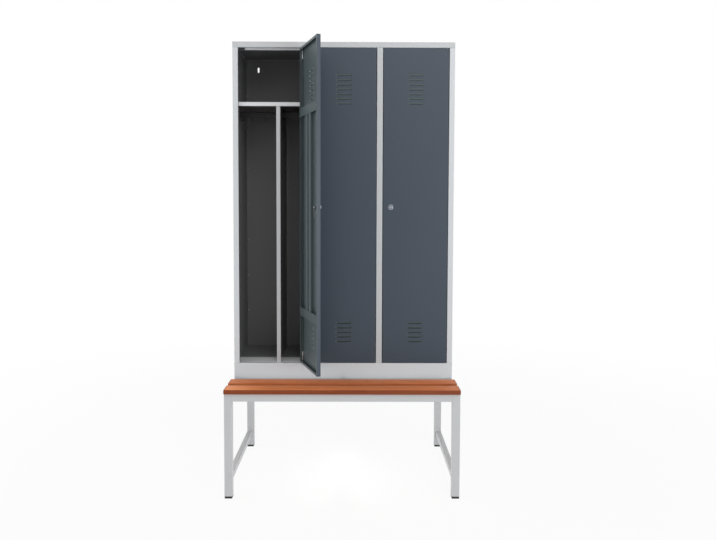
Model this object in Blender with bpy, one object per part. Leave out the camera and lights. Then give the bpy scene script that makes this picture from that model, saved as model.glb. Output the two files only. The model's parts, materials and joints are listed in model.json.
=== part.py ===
"""Steel cloakroom locker with three doors, standing on a tube frame with a wooden bench in front.

Metres, +Z up, the doors face -Y. The origin is on the floor, midway between the two sides, and
midway between the locker's back and the front slat or the free edge of the left door, which
stands open, whichever reaches further forward.

The locker is folded sheet: every carcass piece is the outline of a bent sheet, drawn by fold()
and extruded. Its frame has y = 0 at the locker's front and z = 0 at its bottom edge. The bench
frame has y = 0 at its front and z = 0 on the floor. A door's frame has its hinge axis at
x = y = 0 and its bottom edge at z = 0.
"""

import math

import bmesh
import bpy
from mathutils import Matrix, Vector

# Fits between pieces
SEAT_GAP = 0.0003
BORE_GAP = 0.0004

# Locker body
OVERALL_WIDTH = 1.190
LOCKER_HEIGHT = 1.816
LOCKER_DEPTH = 0.500
SHEET = 0.001
BEND_RADIUS = 0.0015
BEND_STEPS = 2
STILE_WIDTH = 0.029
POST_WIDTH = 0.032
FRAME_RETURN = 0.020
TOP_RAIL_HEIGHT = 0.030
PLINTH_HEIGHT = 0.0845
PLINTH_FOOT = 0.020
STOP_FLANGE = 0.011
REAR_FLANGE = 0.015
BAYS = 3

# Wall-fixing slots in the back
WALL_SLOT_WIDTH = 0.010
WALL_SLOT_HEIGHT = 0.030
WALL_SLOT_FROM_SIDE = 0.075
WALL_SLOT_FROM_TOP = 0.062

# Inside of a bay
INNER_SETBACK = 0.028
SHELF_DROP = 0.285
SHELF_LIP = 0.023
SHELF_RETURN = 0.012
SHELF_UPSTAND = 0.015
PARTITION_WIDTH = 0.022
PARTITION_RETURN = 0.012
PARTITION_OFFSET = 0.034
FLOOR_FLANGE = 0.020

# Coat rails and their hooks
RAIL_HEIGHT = 0.030
RAIL_DEPTH = 0.010
RAIL_SHEET = 0.0015
RAIL_DROP = 0.006
RAIL_SETBACK = 0.240
RAIL_END_PLATE = 0.002
HOOK_WIDTH = 0.010
HOOK_STRIP = 0.0025
HOOK_REACH = 0.024
HOOK_TIP = 0.014
HOOK_BELOW_RAIL = 0.022
HOOK_FROM_WALL = (0.017, 0.068)

# Doors
DOOR_GAP = 0.0025
DOOR_TO_STOP = 0.002
DOOR_DEPTH = 0.020
DOOR_SHEET = 0.001
DOOR_LIP = 0.012
DOOR_EDGE_RADIUS = 0.0012
HINGE_INSET = 0.008
HINGE_SETBACK = 0.006
DOOR_OPEN_DEG = 108.0
OPEN_AT_REST = (True, False, False)

# Louvres, pressed inwards, with the slot at their lower edge
LOUVRE_LENGTH = 0.086
LOUVRE_HEIGHT = 0.015
LOUVRE_DEPTH = 0.006
LOUVRE_TAPER = 0.010
LOUVRE_PITCH = 0.025
LOUVRE_STEPS = 4
TOP_LOUVRES = 7
TOP_LOUVRE_DROP = 0.133
BOTTOM_LOUVRES = 5
BOTTOM_LOUVRE_RISE = 0.229

# Hinge pins
PIN_RADIUS = 0.0035
PIN_LENGTH = 0.060
PIN_ENGAGEMENT = 0.008
PIN_TAIL = 0.012
PIN_BEND = 0.006
PIN_BEND_STEPS = 4
PIN_ROUND_STEPS = 2
PIN_WINDOW = 0.074
BRACKET_WIDTH = 0.014
BRACKET_SHEET = 0.002
BRACKET_FLANGE = 0.016
BRACKET_FROM_END = 0.030

# Door stiffener: a channel between two straps
STIFFENER_TOP = 0.345
STIFFENER_BOTTOM = 0.285
STIFFENER_RIDGE = 0.034
STIFFENER_GROOVE = 0.030
STIFFENER_GROOVE_DEPTH = 0.009
STIFFENER_FLANGE = 0.014
STRAP_HEIGHT = 0.048
STRAP_SHEET = 0.0015
STRAP_SIDE_GAP = 0.003

# Locks
LOCK_FROM_EDGE = 0.0415
LOCK_FLANGE_RADIUS = 0.0145
LOCK_FLANGE = 0.0025
LOCK_RIM = 0.001
LOCK_BARREL_RADIUS = 0.0095
LOCK_NUT_RADIUS = 0.013
LOCK_NUT = 0.004
LOCK_CORE_RADIUS = 0.006
LOCK_CORE_PROUD = 0.0008
KEYWAY_WIDTH = 0.0022
KEYWAY_HEIGHT = 0.008
KEYWAY_DEPTH = 0.010
CAM_SQUARE = 0.007
CAM_THICKNESS = 0.0025
CAM_WIDTH = 0.016
CAM_TO_FRAME = 0.001
CAM_OVERLAP = 0.010
CAM_STEPS = 8

# Bench
SEAT_TOP = 0.562
BENCH_REACH = 0.325
SLAT_COUNT = 2
SLAT_THICKNESS = 0.023
SLAT_DEPTH = 0.095
SLAT_GAP = 0.040
SLAT_OVERHANG = 0.016
SLAT_ROUND = 0.005
LEG = 0.040
TUBE_WALL = 0.002
TUBE_CORNER = 0.001
STRETCHER = 0.030
STRETCHER_TOP = 0.099
BEARER_WIDTH = 0.030
BEARER_HEIGHT = 0.020
FOOT_HEIGHT = 0.012
FOOT_WIDTH = 0.038
FOOT_CHAMFER = 0.003
FOOT_PLUG = 0.022
PLUG_GAP = 0.0005

# Fasteners
SCREW_RADIUS = 0.0025
SCREW_INTO_SLAT = 0.014
BOLT_RADIUS = 0.004
BOLT_HEAD_RADIUS = 0.0075
BOLT_HEAD = 0.005
BOLT_END = 0.004
BASE_ANGLE = 0.025
BASE_ANGLE_SHEET = 0.002
BOLT_FROM_END = 0.080
ROUND_SIDES = 12
LOCK_SIDES = 32

# Derived from the sizes above
HALF_WIDTH = OVERALL_WIDTH / 2
BAY_OPENING = (OVERALL_WIDTH - 2 * STILE_WIDTH - (BAYS - 1) * POST_WIDTH) / BAYS
BAY_PITCH = BAY_OPENING + POST_WIDTH
DOOR_WIDTH = BAY_OPENING - 2 * DOOR_GAP
DOOR_BOTTOM = PLINTH_HEIGHT + DOOR_GAP
DOOR_HEIGHT = LOCKER_HEIGHT - TOP_RAIL_HEIGHT - DOOR_GAP - DOOR_BOTTOM
DOOR_FREE_X = HINGE_INSET - DOOR_WIDTH
DOOR_REAR_Y = DOOR_DEPTH - HINGE_SETBACK
STOP_SETBACK = DOOR_DEPTH + DOOR_TO_STOP
BACK_FACE = LOCKER_DEPTH - 2 * SHEET - SEAT_GAP
INNER_REAR = BACK_FACE - SEAT_GAP
CROSS_EDGE = HALF_WIDTH - SHEET - 2 * SEAT_GAP
SHELF_TOP = LOCKER_HEIGHT - TOP_RAIL_HEIGHT - SHELF_DROP
RAIL_TOP = SHELF_TOP - SHELF_LIP - RAIL_DROP
LOCK_X = DOOR_FREE_X + LOCK_FROM_EDGE
LOCK_Z = DOOR_HEIGHT / 2
LOCK_FACE = -HINGE_SETBACK - SEAT_GAP - LOCK_FLANGE
CAM_FRONT = FRAME_RETURN - HINGE_SETBACK + CAM_TO_FRAME
CAM_LENGTH = LOCK_FROM_EDGE + DOOR_GAP + CAM_OVERLAP
FRAME_TOP = SEAT_TOP - SLAT_THICKNESS - SEAT_GAP
LOCKER_BASE = FRAME_TOP + SEAT_GAP
OPEN_ANGLE = math.radians(DOOR_OPEN_DEG)
OPEN_REACH = -(
    HINGE_SETBACK + DOOR_FREE_X * math.sin(OPEN_ANGLE) + DOOR_REAR_Y * math.cos(OPEN_ANGLE)
)
FRONT_Y = (max(OPEN_REACH, BENCH_REACH + SLAT_OVERHANG) - LOCKER_DEPTH) / 2
BENCH_FRONT_Y = FRONT_Y - BENCH_REACH
REAR_LEG = BENCH_REACH + LOCKER_DEPTH - LEG / 2

# Colours as they show on screen, 0 to 255
LIGHT_GREY = (200, 204, 207)
ANTHRACITE = (72, 79, 87)
DARK_INSIDE = (66, 67, 69)
ZINC = (196, 198, 200)
BLACK = (28, 28, 30)
WOOD = (176, 106, 70)


def clear_scene():
    """Remove every object of the open scene."""
    for item in list(bpy.data.objects):
        bpy.data.objects.remove(item, do_unlink=True)


def linear(colour):
    """Turn a screen colour into the linear one that a shader takes."""
    return [((c / 255 + 0.055) / 1.055) ** 2.4 for c in colour] + [1.0]


def finish(name, colour, roughness=0.45, metallic=0.0):
    """Make a material of one colour for one piece."""
    material = bpy.data.materials.new(name + "_finish")
    material.use_nodes = True
    shader = material.node_tree.nodes["Principled BSDF"]
    shader.inputs["Base Color"].default_value = linear(colour)
    shader.inputs["Roughness"].default_value = roughness
    shader.inputs["Metallic"].default_value = metallic
    return material


def empty(name, location, parent=None, turn=0.0):
    """Add an empty that carries pieces, turned about +Z."""
    carrier = bpy.data.objects.new(name, None)
    bpy.context.collection.objects.link(carrier)
    carrier.location = location
    carrier.rotation_euler = (0.0, 0.0, turn)
    carrier.parent = parent
    return carrier


def as_object(name, shape, parent, location):
    """Turn a bmesh into an object under its parent."""
    mesh = bpy.data.meshes.new(name)
    bmesh.ops.recalc_face_normals(shape, faces=shape.faces)
    shape.to_mesh(mesh)
    shape.free()
    item = bpy.data.objects.new(name, mesh)
    bpy.context.collection.objects.link(item)
    item.parent = parent
    item.location = location
    return item


def add_piece(name, shape, material, parent, location=(0.0, 0.0, 0.0), smooth=False):
    """Add one named piece with its own material."""
    item = as_object(name, shape, parent, location)
    item.data.materials.append(material)
    if smooth:
        item.data.shade_smooth()
        item.data.set_sharp_from_angle(angle=math.radians(35))
    return item


def carve(piece, shape, operation="DIFFERENCE"):
    """Cut a shape out of a piece, or join it on, with a hidden tool that rides on the piece."""
    tool = as_object(piece.name + "_tool", shape, piece, (0.0, 0.0, 0.0))
    tool.hide_render = True
    tool.display_type = "WIRE"
    step = piece.modifiers.new(operation.title(), "BOOLEAN")
    step.operation = operation
    step.object = tool
    step.solver = "EXACT"


def soften(piece, width, segments=2, angle=35.0):
    """Round the sharp edges of a piece."""
    bevel = piece.modifiers.new("Rounded edges", "BEVEL")
    bevel.width = width
    bevel.segments = segments
    bevel.limit_method = "ANGLE"
    bevel.angle_limit = math.radians(angle)


def block(low, high):
    """A box between two corners."""
    shape = bmesh.new()
    bmesh.ops.create_cube(shape, size=1.0)
    low, high = Vector(low), Vector(high)
    bmesh.ops.scale(shape, vec=high - low, verts=shape.verts)
    bmesh.ops.translate(shape, vec=(low + high) / 2, verts=shape.verts)
    return shape


def together(shapes):
    """Put separate closed bodies into one bmesh."""
    whole = bmesh.new()
    for shape in shapes:
        part = bpy.data.meshes.new("part")
        shape.to_mesh(part)
        shape.free()
        whole.from_mesh(part)
        bpy.data.meshes.remove(part)
    return whole


def rod(radius, centre, low, high, axis="Z", sides=ROUND_SIDES):
    """A cylinder along an axis, centred in the plane across it."""
    shape = bmesh.new()
    bmesh.ops.create_cone(
        shape, cap_ends=True, segments=sides, radius1=radius, radius2=radius, depth=high - low
    )
    bmesh.ops.translate(shape, vec=(0.0, 0.0, (low + high) / 2), verts=shape.verts)
    turn = {"X": Matrix.Rotation(math.pi / 2, 3, "Y"), "Y": Matrix.Rotation(-math.pi / 2, 3, "X")}
    if axis in turn:
        bmesh.ops.rotate(shape, cent=(0, 0, 0), matrix=turn[axis], verts=shape.verts)
    offset = {"X": (0, *centre), "Y": (centre[0], 0, centre[1]), "Z": (*centre, 0)}[axis]
    bmesh.ops.translate(shape, vec=offset, verts=shape.verts)
    return shape


def extrude(outline, axis, low, high):
    """Extrude a closed outline along an axis.

    The outline is (y, z) along X, (x, z) along Y and (x, y) along Z.
    """
    place = {
        "X": lambda u, v, w: (w, u, v),
        "Y": lambda u, v, w: (u, w, v),
        "Z": lambda u, v, w: (u, v, w),
    }[axis]
    shape = bmesh.new()
    ring = [shape.verts.new(place(u, v, low)) for u, v in outline]
    face = shape.faces.new(ring)
    grown = bmesh.ops.extrude_face_region(shape, geom=[face])
    moved = [v for v in grown["geom"] if isinstance(v, bmesh.types.BMVert)]
    bmesh.ops.translate(shape, vec=place(0.0, 0.0, high - low), verts=moved)
    return shape


def fold(path, sheet=SHEET, radius=BEND_RADIUS, steps=BEND_STEPS):
    """Outline of a sheet bent along a path.

    The path is one face of the sheet, and the sheet lies to its left. Each bend has the given
    inner radius.
    """
    points = [Vector(p) for p in path]
    near, far = [], []

    def station(point, normal):
        near.append(point)
        far.append(point + normal * sheet)

    for index, point in enumerate(points):
        ahead = (points[index + 1] - point).normalized() if index + 1 < len(points) else None
        behind = (point - points[index - 1]).normalized() if index else None
        if ahead is None or behind is None:
            along = ahead or behind
            station(point, Vector((-along.y, along.x)))
            continue
        start, end = Vector((-behind.y, behind.x)), Vector((-ahead.y, ahead.x))
        turn = math.atan2(behind.x * ahead.y - behind.y * ahead.x, behind.dot(ahead))
        side = math.copysign(1.0, turn)
        bend = radius + sheet if side > 0 else radius
        first = point - behind * bend * math.tan(abs(turn) / 2)
        centre = first + start * side * bend
        for step in range(steps + 1):
            normal = Matrix.Rotation(turn * step / steps, 2) @ start
            station(centre - normal * side * bend, normal)
    return [tuple(p) for p in near + far[::-1]]


def rounded_square(centre, width, height, radius, steps=2):
    """Outline of a rectangle with round corners."""
    outline = []
    for quarter in range(4):
        corner = math.pi / 2 * quarter
        right = 1 if quarter in (0, 3) else -1
        up = 1 if quarter in (0, 1) else -1
        mid = (centre[0] + right * (width / 2 - radius), centre[1] + up * (height / 2 - radius))
        for step in range(steps + 1):
            angle = corner + math.pi / 2 * step / steps
            outline.append((mid[0] + radius * math.cos(angle), mid[1] + radius * math.sin(angle)))
    return outline


def mirrored(outline):
    """The outline's mirror image across x = 0."""
    return [(-x, y) for x, y in reversed(outline)]


# Locker body


def bay_centre(bay):
    """X of the middle of a bay's opening."""
    return (bay - (BAYS - 1) / 2) * BAY_PITCH


def post_centre(post):
    """X of the middle of the post to the right of the bay of the same number."""
    return bay_centre(post) + BAY_PITCH / 2


def bay_walls(bay):
    """X of the faces of the sheets that close a bay on its left and on its right."""
    left = -HALF_WIDTH + SHEET if bay == 0 else post_centre(bay - 1) + SHEET / 2
    right = HALF_WIDTH - SHEET if bay == BAYS - 1 else post_centre(bay) - SHEET / 2
    return left, right


def side_panel(name, side, locker):
    """A side wall whose front edge is folded round into the stile."""
    path = [
        (-HALF_WIDTH + REAR_FLANGE, LOCKER_DEPTH),
        (-HALF_WIDTH, LOCKER_DEPTH),
        (-HALF_WIDTH, 0.0),
        (-HALF_WIDTH + STILE_WIDTH, 0.0),
        (-HALF_WIDTH + STILE_WIDTH, FRAME_RETURN),
    ]
    outline = fold(path) if side < 0 else mirrored(fold(path))
    panel = add_piece(
        name, extrude(outline, "Z", 0.0, LOCKER_HEIGHT), finish(name, LIGHT_GREY), locker
    )
    wall = side * (HALF_WIDTH - SHEET - SEAT_GAP)
    inner = side * (HALF_WIDTH - STILE_WIDTH - SHEET)
    low_x, high_x = sorted((wall, inner))
    rear = FRAME_RETURN + SHEET
    rail_edge = LOCKER_HEIGHT - TOP_RAIL_HEIGHT - SEAT_GAP
    over, under = LOCKER_HEIGHT + SHEET, -SHEET
    carve(panel, block((low_x, -SHEET, rail_edge), (high_x, rear, over)))
    carve(panel, block((low_x, -SHEET, under), (high_x, rear, PLINTH_HEIGHT + SEAT_GAP)))
    return panel


def front_post(name, post, locker):
    """The box-section post between two doors, folded from one sheet with its seam at the rear."""
    centre, half, seam = post_centre(post), POST_WIDTH / 2, SEAT_GAP / 2
    path = [
        (centre - seam, FRAME_RETURN),
        (centre - half, FRAME_RETURN),
        (centre - half, 0.0),
        (centre + half, 0.0),
        (centre + half, FRAME_RETURN),
        (centre + seam, FRAME_RETURN),
    ]
    top = LOCKER_HEIGHT - TOP_RAIL_HEIGHT - SEAT_GAP
    shape = extrude(fold(path), "Z", PLINTH_HEIGHT + SEAT_GAP, top)
    return add_piece(name, shape, finish(name, LIGHT_GREY), locker)


def divider(name, post, locker):
    """The wall between two bays, which meets the seam of the post edge on."""
    face = post_centre(post) - SHEET / 2
    path = [
        (face + REAR_FLANGE, INNER_REAR),
        (face, INNER_REAR),
        (face, FRAME_RETURN + SEAT_GAP),
    ]
    top = LOCKER_HEIGHT - SHEET - SEAT_GAP
    shape = extrude(fold(path), "Z", PLINTH_HEIGHT + SEAT_GAP, top)
    wall = add_piece(name, shape, finish(name, LIGHT_GREY), locker)
    under = LOCKER_HEIGHT - TOP_RAIL_HEIGHT - STOP_FLANGE - SEAT_GAP
    behind = STOP_SETBACK + SHEET + SEAT_GAP
    low = (face - POST_WIDTH, FRAME_RETURN, under)
    carve(wall, block(low, (face + POST_WIDTH, behind, top + SHEET)))
    return wall


def back_panel(locker):
    """The rear sheet, with an upright slot near each top corner to fix it to a wall."""
    inner = HALF_WIDTH - SHEET - BEND_RADIUS
    top = LOCKER_HEIGHT - SHEET - SEAT_GAP
    shape = block((-inner, BACK_FACE, SEAT_GAP), (inner, BACK_FACE + SHEET, top))
    panel = add_piece("back_panel", shape, finish("back_panel", DARK_INSIDE), locker)
    slots = []
    for side in (-1, 1):
        centre = side * (HALF_WIDTH - WALL_SLOT_FROM_SIDE), LOCKER_HEIGHT - WALL_SLOT_FROM_TOP
        corner = WALL_SLOT_WIDTH / 2 - SEAT_GAP
        ring = rounded_square(centre, WALL_SLOT_WIDTH, WALL_SLOT_HEIGHT, corner, steps=4)
        slots.append(extrude(ring, "Y", BACK_FACE - SHEET, BACK_FACE + 2 * SHEET))
    carve(panel, together(slots))
    return panel


def pin_holes(height):
    """Cutters for the holes that take the doors' hinge pins, at one height."""
    low, high = height - 2 * SHEET, height + 2 * SHEET
    places = [(hinge_x(bay), HINGE_SETBACK) for bay in range(BAYS)]
    return together([rod(PIN_RADIUS + BORE_GAP, place, low, high) for place in places])


def roof_panel(locker):
    """The roof sheet, folded down into the top rail and on into the doors' stop flange."""
    rail_edge = LOCKER_HEIGHT - TOP_RAIL_HEIGHT
    path = [
        (LOCKER_DEPTH, LOCKER_HEIGHT),
        (0.0, LOCKER_HEIGHT),
        (0.0, rail_edge),
        (STOP_SETBACK, rail_edge),
        (STOP_SETBACK, rail_edge - STOP_FLANGE),
    ]
    shape = extrude(fold(path), "X", -CROSS_EDGE, CROSS_EDGE)
    panel = add_piece("roof_panel", shape, finish("roof_panel", LIGHT_GREY), locker)
    carve(panel, pin_holes(rail_edge))
    rear = LOCKER_DEPTH - SHEET - BEND_RADIUS
    corner = HALF_WIDTH - REAR_FLANGE - SEAT_GAP
    under, over = LOCKER_HEIGHT - 2 * SHEET, LOCKER_HEIGHT + SHEET
    for side in (-1, 1):
        low_x, high_x = sorted((side * corner, side * HALF_WIDTH))
        carve(panel, block((low_x, rear, under), (high_x, LOCKER_DEPTH + SHEET, over)))
    return panel


def plinth_panel(locker):
    """The front sheet below the doors, folded back at its top and at its foot."""
    path = [
        (STOP_SETBACK, PLINTH_HEIGHT),
        (0.0, PLINTH_HEIGHT),
        (0.0, 0.0),
        (PLINTH_FOOT, 0.0),
    ]
    shape = extrude(fold(path), "X", -CROSS_EDGE, CROSS_EDGE)
    panel = add_piece("plinth_panel", shape, finish("plinth_panel", LIGHT_GREY), locker)
    carve(panel, pin_holes(PLINTH_HEIGHT))
    return panel


def floor_panel(locker):
    """The floor of the three bays, with its front and rear edges folded down."""
    front = STOP_SETBACK + SEAT_GAP
    path = [
        (INNER_REAR, PLINTH_HEIGHT - FLOOR_FLANGE),
        (INNER_REAR, PLINTH_HEIGHT),
        (front, PLINTH_HEIGHT),
        (front, PLINTH_HEIGHT - FLOOR_FLANGE),
    ]
    shape = extrude(fold(path), "X", -CROSS_EDGE, CROSS_EDGE)
    return add_piece("floor_panel", shape, finish("floor_panel", LIGHT_GREY), locker)


def base_angle(name, side, locker):
    """The angle inside the foot of a side wall, through which the locker is bolted down."""
    wall = HALF_WIDTH - SHEET - SEAT_GAP
    path = [(-wall, BASE_ANGLE + SEAT_GAP), (-wall, SEAT_GAP), (-wall + BASE_ANGLE, SEAT_GAP)]
    outline = fold(path, sheet=BASE_ANGLE_SHEET)
    if side > 0:
        outline = mirrored(outline)
    front, rear = STOP_SETBACK + FLOOR_FLANGE, INNER_REAR - FLOOR_FLANGE
    angle = add_piece(name, extrude(outline, "Y", front, rear), finish(name, LIGHT_GREY), locker)
    low, high = -BASE_ANGLE, 2 * BASE_ANGLE
    holes = [rod(BOLT_RADIUS + BORE_GAP, place, low, high) for place in bolt_places(side)]
    carve(angle, together(holes))
    return angle


def bolt_places(side):
    """Where the bolts that hold the locker down stand, in the locker's frame."""
    x = side * (HALF_WIDTH - LEG / 2)
    return [(x, BOLT_FROM_END), (x, LOCKER_DEPTH - BOLT_FROM_END)]


# Inside of a bay


def hat_shelf(name, bay, locker):
    """The hat shelf: an upstand at its rear, a deep front edge and a return under it."""
    left, right = bay_walls(bay)
    path = [
        (INNER_REAR - SHEET, SHELF_TOP + SHELF_UPSTAND),
        (INNER_REAR - SHEET, SHELF_TOP),
        (INNER_SETBACK, SHELF_TOP),
        (INNER_SETBACK, SHELF_TOP - SHELF_LIP),
        (INNER_SETBACK + SHELF_RETURN, SHELF_TOP - SHELF_LIP),
    ]
    shape = extrude(fold(path), "X", left + SEAT_GAP, right - SEAT_GAP)
    shelf = add_piece(name, shape, finish(name, LIGHT_GREY), locker)
    if bay:
        under, over = SHELF_TOP - SHEET, SHELF_TOP + SHELF_UPSTAND + SHEET
        flange_end = post_centre(bay - 1) - SHEET / 2 + REAR_FLANGE + SEAT_GAP
        front = INNER_REAR - SHEET - BEND_RADIUS
        corner = block((left - SHEET, front, under - SHEET), (flange_end, INNER_REAR + SHEET, over))
        carve(shelf, corner)
    return shelf


def partition(name, bay, locker):
    """The wall that parts a bay under its shelf, with its front edge folded into a box."""
    centre = bay_centre(bay) + PARTITION_OFFSET
    half, web = PARTITION_WIDTH / 2, SHEET / 2
    path = [
        (centre - web + REAR_FLANGE, INNER_REAR),
        (centre - web, INNER_REAR),
        (centre - web, INNER_SETBACK + PARTITION_RETURN),
        (centre - half, INNER_SETBACK + PARTITION_RETURN),
        (centre - half, INNER_SETBACK),
        (centre + half, INNER_SETBACK),
        (centre + half, INNER_SETBACK + PARTITION_RETURN),
        (centre + web + SEAT_GAP, INNER_SETBACK + PARTITION_RETURN),
    ]
    top = SHELF_TOP - SHEET - SEAT_GAP
    shape = extrude(fold(path), "Z", PLINTH_HEIGHT + SEAT_GAP, top)
    wall = add_piece(name, shape, finish(name, LIGHT_GREY), locker)
    edge = SHELF_TOP - SHELF_LIP - SEAT_GAP
    rear = INNER_SETBACK + max(SHELF_RETURN, PARTITION_RETURN) + SEAT_GAP
    left, right = centre - PARTITION_WIDTH, centre + PARTITION_WIDTH
    carve(wall, block((left, INNER_SETBACK - SHEET, edge), (right, rear, top + SHEET)))
    low, high = rail_section(BORE_GAP)
    carve(wall, block((left, *low), (right, *high)))
    return wall


def rail_section(clearance=0.0):
    """Corners, in (y, z), of the space that a coat rail fills, with a clearance round it."""
    low = (RAIL_SETBACK - clearance, RAIL_TOP - RAIL_HEIGHT - clearance)
    return low, (RAIL_SETBACK + RAIL_DEPTH + clearance, RAIL_TOP + clearance)


def hook_places(bay):
    """X of a bay's coat hooks, a pair near each outer wall."""
    left, right = bay_walls(bay)
    return [left + d for d in HOOK_FROM_WALL] + [right - d for d in reversed(HOOK_FROM_WALL)]


def coat_rail(name, bay, locker):
    """A channel across the bay, with a plate at both ends and hooks of bent strip on its face."""
    left, right = bay_walls(bay)
    low, high = rail_section()
    path = [(high[0], high[1]), (low[0], high[1]), low, (high[0], low[1])]
    start, end = left + SEAT_GAP, right - SEAT_GAP
    shape = extrude(fold(path, sheet=RAIL_SHEET), "X", start + SEAT_GAP, end - SEAT_GAP)
    rail = add_piece(name, shape, finish(name, BLACK, 0.5), locker)
    low, high = rail_section(RAIL_END_PLATE)
    ends = ((start, start + RAIL_END_PLATE), (end - RAIL_END_PLATE, end))
    carve(rail, together([block((a, *low), (b, *high)) for a, b in ends]), "UNION")
    face = RAIL_SETBACK + RAIL_SHEET / 2
    foot = RAIL_TOP - RAIL_HEIGHT - HOOK_BELOW_RAIL
    strip = [
        (face - HOOK_REACH, foot + HOOK_TIP),
        (face - HOOK_REACH, foot),
        (face, foot),
        (face, RAIL_TOP - HOOK_STRIP),
    ]
    outline = fold(strip, sheet=HOOK_STRIP, radius=HOOK_STRIP, steps=3)
    half = HOOK_WIDTH / 2
    hooks = [extrude(outline, "X", x - half, x + half) for x in hook_places(bay)]
    carve(rail, together(hooks), "UNION")
    return rail


# Doors


def hinge_x(bay):
    """X of a door's hinge axis, at the right of its bay, in the locker's frame."""
    return bay_centre(bay) + BAY_OPENING / 2 - DOOR_GAP - HINGE_INSET


def louvre_profile(steps=LOUVRE_STEPS):
    """Depth of a louvre's pressing at each step down from its top edge."""
    quarter = math.pi / 2
    return [
        (LOUVRE_HEIGHT * k / steps, LOUVRE_DEPTH * (1 - math.cos(quarter * k / steps)))
        for k in range(steps + 1)
    ]


def louvre_tops():
    """Height above the door's bottom edge of the top edge of every louvre."""
    upper = [DOOR_HEIGHT - TOP_LOUVRE_DROP - k * LOUVRE_PITCH for k in range(TOP_LOUVRES)]
    lower = [BOTTOM_LOUVRE_RISE - k * LOUVRE_PITCH for k in range(BOTTOM_LOUVRES)]
    return upper + lower


def louvre(top, shell):
    """One louvre: the raised shell behind the skin, or the hollow that is cut into its front.

    Both taper towards the rear at their ends by the same slope, so the wall between them is a
    sheet thick.
    """
    face = -HINGE_SETBACK
    slope = LOUVRE_TAPER / LOUVRE_DEPTH
    half = LOUVRE_LENGTH / 2
    if shell:
        half += slope * DOOR_SHEET
        curve = [(face + DOOR_SHEET + depth, top - down) for down, depth in louvre_profile()]
        ends = [(face + DOOR_SHEET / 2, top - LOUVRE_HEIGHT), (face + DOOR_SHEET / 2, top)]
    else:
        lower = top - LOUVRE_HEIGHT - SEAT_GAP
        curve = [(face + depth, top - down) for down, depth in louvre_profile()]
        curve.append((face + LOUVRE_DEPTH, lower))
        ends = [(face - DOOR_SHEET, lower), (face - DOOR_SHEET, top)]
    middle = HINGE_INSET - DOOR_WIDTH / 2
    shape = extrude(curve + ends, "X", middle - half, middle + half)
    for vertex in shape.verts:
        depth = max(0.0, vertex.co.y - face)
        vertex.co.x -= math.copysign(slope * depth, vertex.co.x - middle)
    return shape


def door_cavity():
    """The hollow of the door's pan with the mouth between its lips, as one cutter."""
    skin = -HINGE_SETBACK + DOOR_SHEET
    low = (DOOR_FREE_X + DOOR_SHEET, skin, DOOR_SHEET)
    high = (HINGE_INSET - DOOR_SHEET, DOOR_REAR_Y - DOOR_SHEET, DOOR_HEIGHT - DOOR_SHEET)
    shape = block(low, high)
    shape.faces.ensure_lookup_table()
    rear = max(shape.faces, key=lambda f: f.calc_center_median().y)
    bmesh.ops.inset_region(shape, faces=[rear], thickness=DOOR_LIP - DOOR_SHEET, use_even_offset=True)
    grown = bmesh.ops.extrude_face_region(shape, geom=[rear])
    moved = [v for v in grown["geom"] if isinstance(v, bmesh.types.BMVert)]
    bmesh.ops.translate(shape, vec=(0.0, 2 * DOOR_SHEET, 0.0), verts=moved)
    bmesh.ops.delete(shape, geom=[rear], context="FACES_ONLY")
    return shape


def door_panel(name, hinge):
    """The door: a pan with lips, pressed louvres, and holes for its pins and its lock."""
    low = (DOOR_FREE_X, -HINGE_SETBACK, 0.0)
    shape = block(low, (HINGE_INSET, DOOR_REAR_Y, DOOR_HEIGHT))
    upright = [e for e in shape.edges if abs(e.verts[0].co.z - e.verts[1].co.z) > DOOR_HEIGHT / 2]
    bmesh.ops.bevel(
        shape,
        geom=upright,
        offset=DOOR_EDGE_RADIUS,
        offset_type="OFFSET",
        segments=2,
        profile=0.5,
        affect="EDGES",
        material=-1,
    )
    door = add_piece(name, shape, finish(name, ANTHRACITE, 0.4), hinge)
    carve(door, door_cavity())
    carve(door, together([louvre(top, True) for top in louvre_tops()]), "UNION")
    carve(door, together([louvre(top, False) for top in louvre_tops()]))
    ends = ((BRACKET_FROM_END, 1), (DOOR_HEIGHT - BRACKET_FROM_END, -1))
    carve(door, together([pin_bracket(height, way) for height, way in ends]), "UNION")
    lip_edge = HINGE_INSET - DOOR_LIP - DOOR_SHEET
    rear = (HINGE_INSET - DOOR_SHEET, DOOR_REAR_Y + DOOR_SHEET)
    lip_face = DOOR_REAR_Y - 2 * DOOR_SHEET
    windows = [
        block((lip_edge, lip_face, DOOR_LIP), (*rear, PIN_WINDOW)),
        block((lip_edge, lip_face, DOOR_HEIGHT - PIN_WINDOW), (*rear, DOOR_HEIGHT - DOOR_LIP)),
    ]
    carve(door, together(windows))
    bore = PIN_RADIUS + BORE_GAP
    reach = PIN_LENGTH - PIN_BEND - PIN_RADIUS
    holes = [
        rod(bore, (0.0, 0.0), -DOOR_SHEET, reach),
        rod(bore, (0.0, 0.0), DOOR_HEIGHT - reach, DOOR_HEIGHT + DOOR_SHEET),
        rod(
            LOCK_BARREL_RADIUS + BORE_GAP,
            (LOCK_X, LOCK_Z),
            -HINGE_SETBACK - DOOR_SHEET,
            -HINGE_SETBACK + 2 * DOOR_SHEET,
            "Y",
            LOCK_SIDES,
        ),
    ]
    carve(door, together(holes))
    return door


def pin_route(end, way):
    """Middle line of a hinge pin from its free end to the end of its bent tail."""
    inner = end - way * (PIN_LENGTH + PIN_ENGAGEMENT)
    route = [(0.0, 0.0, end), (0.0, 0.0, inner + way * PIN_BEND)]
    for step in range(1, PIN_BEND_STEPS + 1):
        angle = math.pi / 2 * step / PIN_BEND_STEPS
        side = -PIN_BEND * (1 - math.cos(angle))
        route.append((side, 0.0, inner + way * PIN_BEND * (1 - math.sin(angle))))
    route.append((-PIN_TAIL, 0.0, inner))
    return route


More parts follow.
